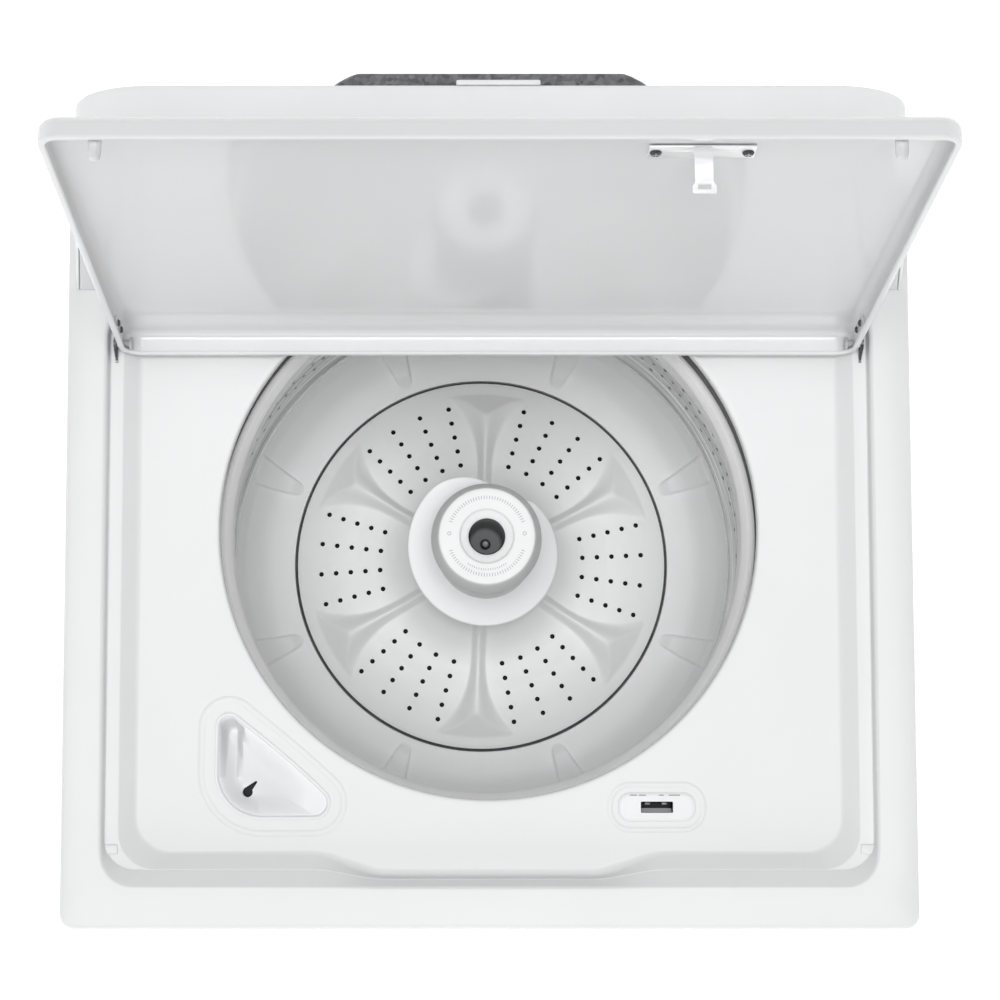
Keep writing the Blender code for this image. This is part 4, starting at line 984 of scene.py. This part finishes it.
def build_ports():
    """Mixing valve with its two threaded hose ports, the cord's gland and the drain port."""
    back = CONSOLE_BACK_Y
    body = block(0.205, 0.312, back - 0.05, back - 0.02, DECK_Z + 0.025, DECK_Z + 0.095, 0.003)
    domes = [moved(turned([(0.019, 0, 0), (0.019, 0.016, 0.004), (0.0005, 0.018, 0)], 32),
                   shift(x, back - 0.049, DECK_Z + 0.06) @ turn(90, "X")) for x, _ in INLETS]
    piece("inlet_valve_body", joined(body, *domes), PLASTIC, "cabinet", ("water_inlet_valve",))
    for x, name in INLETS:
        start = on_deck(x, back - 0.022, 0.06)
        length = PORT_END_Y - start.y
        thread = [(0.0126, 0.0, 0), (0.0126, length - 0.0155, 0)]
        z = length - 0.015
        while z < length - 0.0015:
            thread += [(0.0126, z, 0), (0.0135, z + 0.0006, 0)]
            z += 0.0014
        thread += [(0.0126, length - 0.0004, 0), (0.0118, length, 0), (0.0095, length, 0), (0.0095, 0.006, 0)]
        place = Matrix.Translation(start) @ turn(-90, "X")
        piece("hose_port_" + name, turned(thread, 40, steps=1), PLASTIC, "cabinet",
              at=place, sharp=25)
        screen = turned([(0.0094, 0.006, 0), (0.0094, 0.0075, 0), (0.0002, 0.0085, 0)], 32)
        piece("port_screen_" + name, screen, RUBBER, "cabinet", at=place)
    gland = [(0.0075, -0.012, 0), (0.0097, -0.012, 0), (0.0097, 0.0018, 0), (0.014, 0.002, 0),
             (0.014, 0.0036, 0.0006), (0.0118, 0.0062, 0.001)]
    for k in range(4):
        z, ridge = 0.0066 + k * 0.0018, 0.0104 - k * 0.0005
        gland += [(0.0096 - k * 0.0004, z, 0), (ridge, z + 0.0006, 0), (ridge, z + 0.0011, 0)]
    gland += [(0.0086, 0.014, 0), (0.005, 0.014, 0), (0.005, -0.008, 0)]
    piece("gland_ribbed", turned(gland, 36, steps=1), RUBBER, "cabinet", ("cord_gland",),
          Matrix.Translation(on_deck(GLAND_X, back - 0.001, 0.055)) @ turn(-90, "X"), sharp=30)
    port = [(0.0115, -0.003, 0), (0.0172, -0.003, 0), (0.0172, 0.002, 0), (0.021, 0.002, 0),
            (0.021, 0.0038, 0.0008), (0.0152, 0.0068, 0.001)]
    for k in range(4):
        z = 0.0105 + k * 0.0038
        port += [(0.0141, z, 0), (0.015, z + 0.001, 0), (0.0141, z + 0.003, 0)]
    end = DRAIN_END_Y - REAR_Y + 0.0016
    port += [(0.0138, end, 0), (0.0115, end, 0)]
    piece("drain_spigot", turned(port, 40, steps=1), GREY, "cabinet", ("drain_port",),
          shift(DRAIN_X, REAR_Y - 0.0016, DRAIN_Z) @ turn(-90, "X"), sharp=30)


# ---- Rings, basket -----------------------------------------------------------------------
AXIS = shift(0, AXIS_Y, 0)


def build_rings():
    """Tub ring under the deck, and the basket's balance ring below it."""
    ring = [(0.2335, 0.832, 0.001), (0.2335, 0.8425, 0.0012), (0.235, 0.845, 0.0015),
            (0.24, 0.846, 0.002), (0.25, 0.8446, 0.004), (0.264, 0.846, 0.002),
            (0.2805, 0.846, 0.0015), (0.2825, 0.844, 0.001), (0.2825, 0.822, 0.0005),
            (0.2764, 0.822, 0.0003), (0.2764, 0.8428, 0), (0.2365, 0.8428, 0), (0.2365, 0.832, 0.0008)]
    piece("tub_ring_moulded", turned(ring, 200, loop=True, steps=4), PLASTIC, "tub", ("tub_ring",),
          AXIS, sharp=40)
    clips = []
    for k in range(12):
        clip = block(0.2745, 0.2838, -0.01, 0.01, 0.824, 0.84, 0.0012)
        clips.append(moved(clip, turn(15 + 30 * k, "Z")))
    piece("tub_ring_clips", joined(*clips), PLASTIC, "tub", at=AXIS)
    hoop = [(0.2225, 0.7818, 0.0006), (0.24, 0.7818, 0.0006), (0.2425, 0.784, 0.001),
            (0.2425, 0.79, 0.0015), (0.238, 0.796, 0.003), (0.2322, 0.799, 0.002),
            (0.2316, 0.82, 0.002), (0.2306, 0.8254, 0.0012), (0.2278, 0.8258, 0.0008),
            (0.2262, 0.824, 0.0006), (0.224, 0.8232, 0.0008), (0.2214, 0.82, 0.001),
            (0.2197, 0.8168, 0.0014), (0.2193, 0.808, 0.003), (0.2207, 0.799, 0.003),
            (0.2197, 0.791, 0.003)]
    piece("balance_hoop", turned(hoop, 200, loop=True, steps=4), RING_PALE, "basket", ("balance_ring",),
          AXIS, sharp=40)


def build_basket_wall():
    """Rolled stainless drum: four pressed beads and rows of pierced holes, drawn as black discs of painted
    shade with bright rims.
    """
    low, high = 0.5563, 0.7815
    inside = []
    steps = 90
    for k in range(steps + 1):
        z = low + (high - low) * k / steps
        inset = sum(0.0022 * math.exp(-((z - bead) / 0.0042) ** 2) for bead in (0.577, 0.6, 0.748, 0.766))
        inside.append(circle(BASKET_R - 0.001 - inset, z, 200))
    outside = [circle(BASKET_R, high, 200), circle(BASKET_R, low, 200)]
    piece("basket_drum", loft(inside + outside, loop=True), STEEL, "basket", ("basket_wall",),
          AXIS)
    holes, rims = bmesh.new(), bmesh.new()
    for bm, radius, lift in ((rims, 0.0027, 0.0002), (holes, 0.0019, 0.0003)):
        for row in range(8):
            z = 0.618 + row * 0.0158
            for k in range(60):
                a = 2 * math.pi * (k + 0.5 * (row % 2)) / 60
                side = Vector((-math.sin(a), math.cos(a), 0))
                centre = polar(1.0, a) * (BASKET_R - 0.001 - lift) + Vector((0, 0, z))
                ring = []
                for i in range(12):
                    t = 2 * math.pi * i / 12
                    offset = (side * math.cos(t) + Vector((0, 0, math.sin(t)))) * radius
                    ring.append(bm.verts.new(centre + offset))
                bm.faces.new(ring)
    # The holes are flat black discs on the wall: painted shade standing for the dark seen through them.
    piece("basket_hole_shade", holes, BLACK, "basket", at=AXIS)
    piece("basket_pierced_rims", rims, BRIGHT, "basket", at=AXIS)


RAMP_DEGREES = [22.5 + 45 * k for k in range(8)]
RAMPS = [math.radians(a) for a in RAMP_DEGREES]


def ramp_rise(radius, angle):
    """Eight raised tongues that climb outwards, each with a rounded tip towards the wash plate."""
    if not 0.1905 < radius < 0.2384:
        return 0.0
    nearest = min(RAMPS, key=lambda a: abs((angle - a + math.pi) % (2 * math.pi) - math.pi))
    off = abs((angle - nearest + math.pi) % (2 * math.pi) - math.pi) * radius
    run = radius - 0.192
    half = 0.0062 + 0.2 * max(run, 0.0)
    if run < 0.007:
        half *= math.sqrt(max(0.0, 1 - ((0.007 - run) / 0.0085) ** 2))
    if half <= 0.0005:
        return 0.0
    edge = ease((half - off) / 0.0018)
    return 0.007 * edge * ease((run + 0.0015) / 0.012) * ease((0.2384 - radius) / 0.006)


def ring_angles(centres, spread, fine, coarse):
    """Directions round a ring, closer together near the given centres (degrees)."""
    angles = {round(coarse * k, 3) for k in range(int(360 / coarse))}
    for centre in centres:
        count = int(spread / fine)
        angles.update(round((centre + fine * k) % 360, 3) for k in range(-count, count + 1))
    return [math.radians(a) for a in sorted(angles)]


def build_basket_base():
    angles = ring_angles(RAMP_DEGREES, 6.5, 0.25, 1.5)
    top = filleted([(0.1846, 0.49, 0), (0.1846, 0.5062, 0.0012), (0.188, 0.5076, 0.004),
                    (0.213, 0.5175, 0.03), (0.231, 0.54, 0.02), (0.238, 0.5545, 0.003),
                    (0.2382, 0.556, 0)], 9)
    fine = resampled(top, 0.0012)
    rest = [Vector(p) for p in ((0.2412, 0.556), (0.2412, 0.532), (0.23, 0.505), (0.19, 0.478),
                                (0.05, 0.47), (0.016, 0.47), (0.016, 0.484), (0.176, 0.484))]
    rings = [[polar(p.x, a, p.y + ramp_rise(p.x, a)) for p in fine] + [polar(p.x, a, p.y) for p in rest]
             for a in angles]
    # Near-black ring down in the gap round the wash plate: painted shade of the gap.
    gap_ring = [(0.1812, 0.496, 0), (0.1845, 0.496, 0), (0.1845, 0.4985, 0), (0.1812, 0.4985, 0)]
    piece("plate_gap_shade", turned(gap_ring, 120, loop=True, steps=1), GAP_SHADE_GREY, "basket",
          at=AXIS)
    piece("basket_floor_ring", loft(rings, loop=True), BASE_WHITE, "basket", ("basket_base",),
          AXIS, sharp=60)


# ---- Wash plate and post -----------------------------------------------------------------
PLATE_TURN = -2.0
PLATE_LINE = [(0.1817, 0.507, 0), (0.179, 0.5078, 0.001), (0.155, 0.5105, 0.05), (0.125, 0.515, 0.05),
              (0.092, 0.522, 0.06), (0.066, 0.54, 0.03), (0.055, 0.564, 0.03), (0.048, 0.585, 0)]


def vane_half(radius):
    """Half width of a vane: narrow along the post's side, then flaring into a fan."""
    run = max(0.0, (radius - 0.091) / 0.073)
    return 0.0076 + 0.027 * run ** 2.4


def vane_rise(radius, angle):
    """Soft crest from the post to a summit, whence a fan shaped facet drops to the plate."""
    if radius < 0.05 or radius > 0.171:
        return 0.0
    step = math.pi / 3
    nearest = (angle - step / 2) / step
    off = abs(nearest - round(nearest)) * step * radius
    half = vane_half(radius)
    if off > half * 1.15:
        return 0.0
    crest = 0.0095 + 0.0075 * ease((radius - 0.07) / 0.078)
    side = crest * ease(1.0 - off / half) ** 0.85
    outer = 0.0175 * max(0.0, (0.1705 - radius) / 0.0225)
    return max(0.0, soft_min(side, outer, 0.0016)) if side > 0 and outer > 0 else 0.0


def build_wash_plate():
    angles = ring_angles([30 + 60 * k for k in range(6)], 14.0, 0.5, 1.0)

    def ring(p, drop, vanes):
        return [polar(p.x, a, p.y - drop + (vane_rise(p.x, a) if vanes else 0)) for a in angles]

    over = [ring(p, 0, True) for p in resampled(filleted(PLATE_LINE, 8), 0.0016)]
    over.append(ring(Vector((0.018, 0.585)), 0, False))
    under = [ring(Vector(p), 0.003, False) for p in ((0.018, 0.585), (0.048, 0.585), (0.064, 0.54),
                                                     (0.09, 0.522), (0.125, 0.515), (0.155, 0.5105))]
    under.append(ring(Vector((0.1817, 0.507)), 0.005, False))
    plate = obj_from("wash_plate_vaned", loft(over + under, loop=True), PLATE_GREY, 60)
    drills = []
    for group in range(6):
        for row in (-16.3, -5.45, 5.45, 16.3):
            a = math.radians(60 * group + row)
            for k in range(5):
                r = 0.1 + 0.01463 * k
                drill = turned([(0.0031, 0.54, 0), (0.0024, 0.5165, 0), (0.0024, 0.49, 0)], 14)
                drills.append(moved(drill, shift(r * math.cos(a), r * math.sin(a), plate_height(r) - 0.515)))
    carve(plate, joined(*drills), sharp=60)
    plate.matrix_world = AXIS @ turn(PLATE_TURN, "Z")
    settle(plate, "agitator", ("wash_plate",))
    # Black ring under the plate's holes: painted shade, so the holes read dark.
    shade = [(0.09, 0.515, 0), (0.125, 0.508, 0), (0.164, 0.5035, 0), (0.164, 0.5025, 0),
             (0.125, 0.507, 0), (0.09, 0.514, 0)]
    piece("wash_plate_under_shade", turned(shade, 72, loop=True, steps=1), BLACK, "agitator",
          at=AXIS)


def plate_height(radius):
    for (r0, z0, _), (r1, z1, _) in zip(PLATE_LINE, PLATE_LINE[1:]):
        if r1 <= radius <= r0:
            return z1 + (z0 - z1) * (radius - r1) / (r0 - r1)
    return PLATE_LINE[-1][1]


def build_auger():
    """Post with its helical flight and the collar below the cap."""
    core = [(0.0345, 0.715, 0), (0.0345, 0.7994, 0), (0.0436, 0.7994, 0.001), (0.0441, 0.79, 0.003),
            (0.0452, 0.67, 0.02), (0.047, 0.6, 0.01), (0.0485, 0.5862, 0.001), (0.042, 0.5853, 0),
            (0.001, 0.5853, 0)]
    body = turned(core, 96)
    steps, first, turns, top, drop = 220, 64.0, 1.05, 0.77, 0.158
    rings = []
    for i in range(steps + 1):
        t = i / steps
        a = math.radians(first) + 2 * math.pi * turns * t
        grow = ease(min(1.0, t / 0.19)) ** 0.8 * ease(min(1.0, (1 - t) / 0.1))
        out = 0.0452 + 0.0246 * max(grow, 0.02)
        thick = 0.0018 + 0.0014 * grow
        section = [(0.04, 0.003), (0.0462, 0.003), (0.0486, 0.0012)]
        span = out - 0.052
        section += [(0.052 + span * 0.35, 0.0002), (out - 0.0024, -0.0002), (out - 0.0008, -0.0006),
                    (out, -0.0018), (out - 0.0002, -0.0018 - thick), (out - 0.0014, -0.0028 - thick),
                    (0.052 + span * 0.3, -0.0024 - thick), (0.049, -0.0036 - thick), (0.0458, -0.006 - thick),
                    (0.04, -0.006 - thick)]
        z = top - drop * t
        rings.append([polar(min(r, out), a, z + dz * (0.25 + 0.75 * grow)) for r, dz in section])
    piece("auger_flighted", joined(body, loft(rings)), AGITATOR_WHITE, "auger", ("auger",),
          AXIS, sharp=50)


def build_softener_cap():
    """Cap with its cup, the grey sleeve and plug in it, and a generic ring of ticks."""
    cap = [(0.032, 0.72, 0.001), (0.0341, 0.785, 0.001), (0.0341, 0.7998, 0), (0.047, 0.7998, 0.0004),
           (0.0482, 0.8008, 0.0006), (0.048, 0.804, 0.003), (0.0428, 0.8235, 0.003),
           (0.0413, 0.8268, 0.0014), (0.039, 0.827, 0.0006), (0.0242, 0.827, 0.0008),
           (0.0232, 0.8262, 0.0006), (0.0224, 0.825, 0.0012), (0.0176, 0.8236, 0.002),
           (0.0158, 0.8222, 0.001), (0.015, 0.742, 0.002), (0.013, 0.74, 0.001), (0.0004, 0.7396, 0)]
    piece("softener_cap", turned(cap, 120), CAP_WHITE, "auger", ("softener_dispenser",),
          AXIS, sharp=45)
    # The sleeve's colour is darker than grey plastic: partly painted shade inside the well.
    well = [(0.01485, 0.8205, 0), (0.01475, 0.744, 0.002), (0.013, 0.7412, 0.001), (0.0003, 0.7408, 0)]
    sleeve = loft([circle(p.x, p.y, 64) for p in filleted(well)], caps=False)
    piece("softener_well", sleeve, WELL_SHADED_GREY, "auger", at=AXIS)
    plug = [(0.0044, 0.7405, 0), (0.0044, 0.747, 0.0012), (0.003, 0.7482, 0.0005), (0.0026, 0.7474, 0.0003),
            (0.0003, 0.7472, 0)]
    piece("softener_plug", turned(plug, 32), DARK_STEEL, "auger", at=AXIS)
    ticks = []
    rows = ((22, 158, 0.0335, 0.003), (202, 338, 0.0335, 0.003), (236, 304, 0.0288, 0.0016))
    for first, last, radius, long in rows:
        count = int((last - first) / 4.0)
        for k in range(count + 1):
            a = first + (last - first) * k / count
            tick = block(-0.00028, 0.00028, -long / 2, long / 2, -0.0001, 0.00018)
            ticks.append(moved(tick, turn(a - 90, "Z") @ shift(0, radius, CAP_TOP)))
    for a in (4, 176):
        spot = turned([(0.0017, -0.0001, 0), (0.0017, 0.0002, 0), (0.0012, 0.0002, 0),
                       (0.0012, -0.0001, 0)], 24)
        ticks.append(moved(spot, turn(a - 90, "Z") @ shift(0, 0.0325, CAP_TOP)))
    piece("softener_cap_ticks", joined(*ticks), MARK_GREY, "auger", at=AXIS)


def build_suspension_springs():
    """Round-wire coils between the rods' cups and the tub's ears."""
    wire, coil, turns, steps = 0.002, 0.0115, 3, 40
    for name in CORNERS:
        low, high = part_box("suspension_spring_" + name)
        x, y = (low[0] + high[0]) / 2, (low[1] + high[1]) / 2
        length = high[2] - low[2]
        rings = []
        for i in range(turns * steps + 1):
            a = 2 * math.pi * i / steps
            middle = Vector((x, y, low[2] + wire + (length - 2 * wire) * i / (turns * steps)))
            rings.append([middle + polar(coil + wire * math.cos(b), a, wire * math.sin(b))
                          for b in [2 * math.pi * k / 10 for k in range(10)]])
        spring = obj_from("spring_coil_" + name, loft(rings), DARK_STEEL)
        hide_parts("suspension_spring_" + name)
        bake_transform(spring)


# ---- CAD nodes that stay -----------------------------------------------------------------
def finish_nodes():
    """Procedural finishes for the frame's own solids."""
    plan = {
        PLASTIC: ("water_fill_nozzle",),
        RING_PALE: ("outer_tub",), GREY: ("drain_hose", "drain_pump"),
        GALVANISED: ("base_frame", "suspension_frame", "drive_plate"),
        BRIGHT: ("spin_tube", "agitator_shaft", "tub_bearing"),
        DARK_STEEL: ("motor", "lid_lock_bolt"), CAST: ("gearcase", "drive_pulley", "motor_pulley"),
        RUBBER: ("drive_belt",), BOARD: ("control_board",),
    }
    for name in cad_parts:
        if name.startswith("suspension_rod"):
            plan[DARK_STEEL] += (name,)
    for mat, names in plan.items():
        for name in names:
            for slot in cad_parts[name].material_slots:
                slot.material = mat


# ---- Stage -------------------------------------------------------------------------------
def build_stage():
    """Pale floor that turns up into a plain wall all round."""
    n = Nodes("studio_floor")
    base = n.mix(n.ranged(n.noise(1.5, 3.0), 0.0, 1.0), (0.93, 0.93, 0.93), (0.95, 0.95, 0.95))
    floor_mat = n.into(Base_Color=base, Roughness=0.9, Emission_Color=(1.0, 1.0, 1.0, 1.0),
                       Emission_Strength=0.16)
    line = filleted([(0.02, -0.0005, 0), (9.0, -0.0005, 2.5), (9.0, 5.0, 0)], 12)
    floor = obj_from("studio_floor", loft([circle(p.x, p.y, 96) for p in line], caps=False), floor_mat)


def add_light(light, place, aim):
    obj = bpy.data.objects.new(light.name, light)
    obj.location = place
    obj.rotation_euler = (Vector(aim) - Vector(place)).to_track_quat("-Z", "Y").to_euler()
    bpy.context.collection.objects.link(obj)


def build_lights():
    world = bpy.data.worlds.new("studio")
    bpy.context.scene.world = world
    world.use_nodes = True
    sky = world.node_tree.nodes["Background"]
    sky.inputs["Color"].default_value = (1.0, 1.0, 1.0, 1.0)
    sky.inputs["Strength"].default_value = 0.26
    ceiling = bpy.data.lights.new("ceiling", "SUN")
    ceiling.energy, ceiling.angle = 2.32, math.radians(34)
    add_light(ceiling, (0, 0, 0), (0.02, 0.06, -1.0))
    front = bpy.data.lights.new("front", "AREA")
    front.shape = "RECTANGLE"
    front.size, front.size_y = 2.0, 1.4
    front.energy = 18.0
    add_light(front, (-0.5, -2.8, 2.0), (0.0, 0.1, 1.1))
    bpy.context.scene.view_settings.view_transform = "Standard"
    bpy.context.scene.view_settings.look = "None"
    bpy.context.scene.view_settings.exposure = 0.0


def build_camera():
    """Almost straight down, from above the machine and a little to the front."""
    data = bpy.data.cameras.new("camera")
    data.sensor_width = 36.0
    data.lens = 86.0
    data.shift_x, data.shift_y = 0.057, 0.025
    data.clip_start, data.clip_end = 0.1, 60.0
    obj = bpy.data.objects.new("camera", data)
    obj.location = (-0.0378, -0.1994, 2.872)
    obj.rotation_euler = (math.radians(5.417), 0, 0)
    bpy.context.collection.objects.link(obj)
    bpy.context.scene.camera = obj


def main():
    build_stage()
    build_lights()
    build_camera()
    finish_nodes()
    build_deck()
    build_bleach_dispenser()
    build_lid_lock()
    build_lid()
    build_cabinet()
    build_rear_panel()
    build_feet()
    build_console()
    build_controls()
    build_ports()
    build_rings()
    build_basket_wall()
    build_basket_base()
    build_wash_plate()
    build_auger()
    build_softener_cap()
    build_suspension_springs()


main()
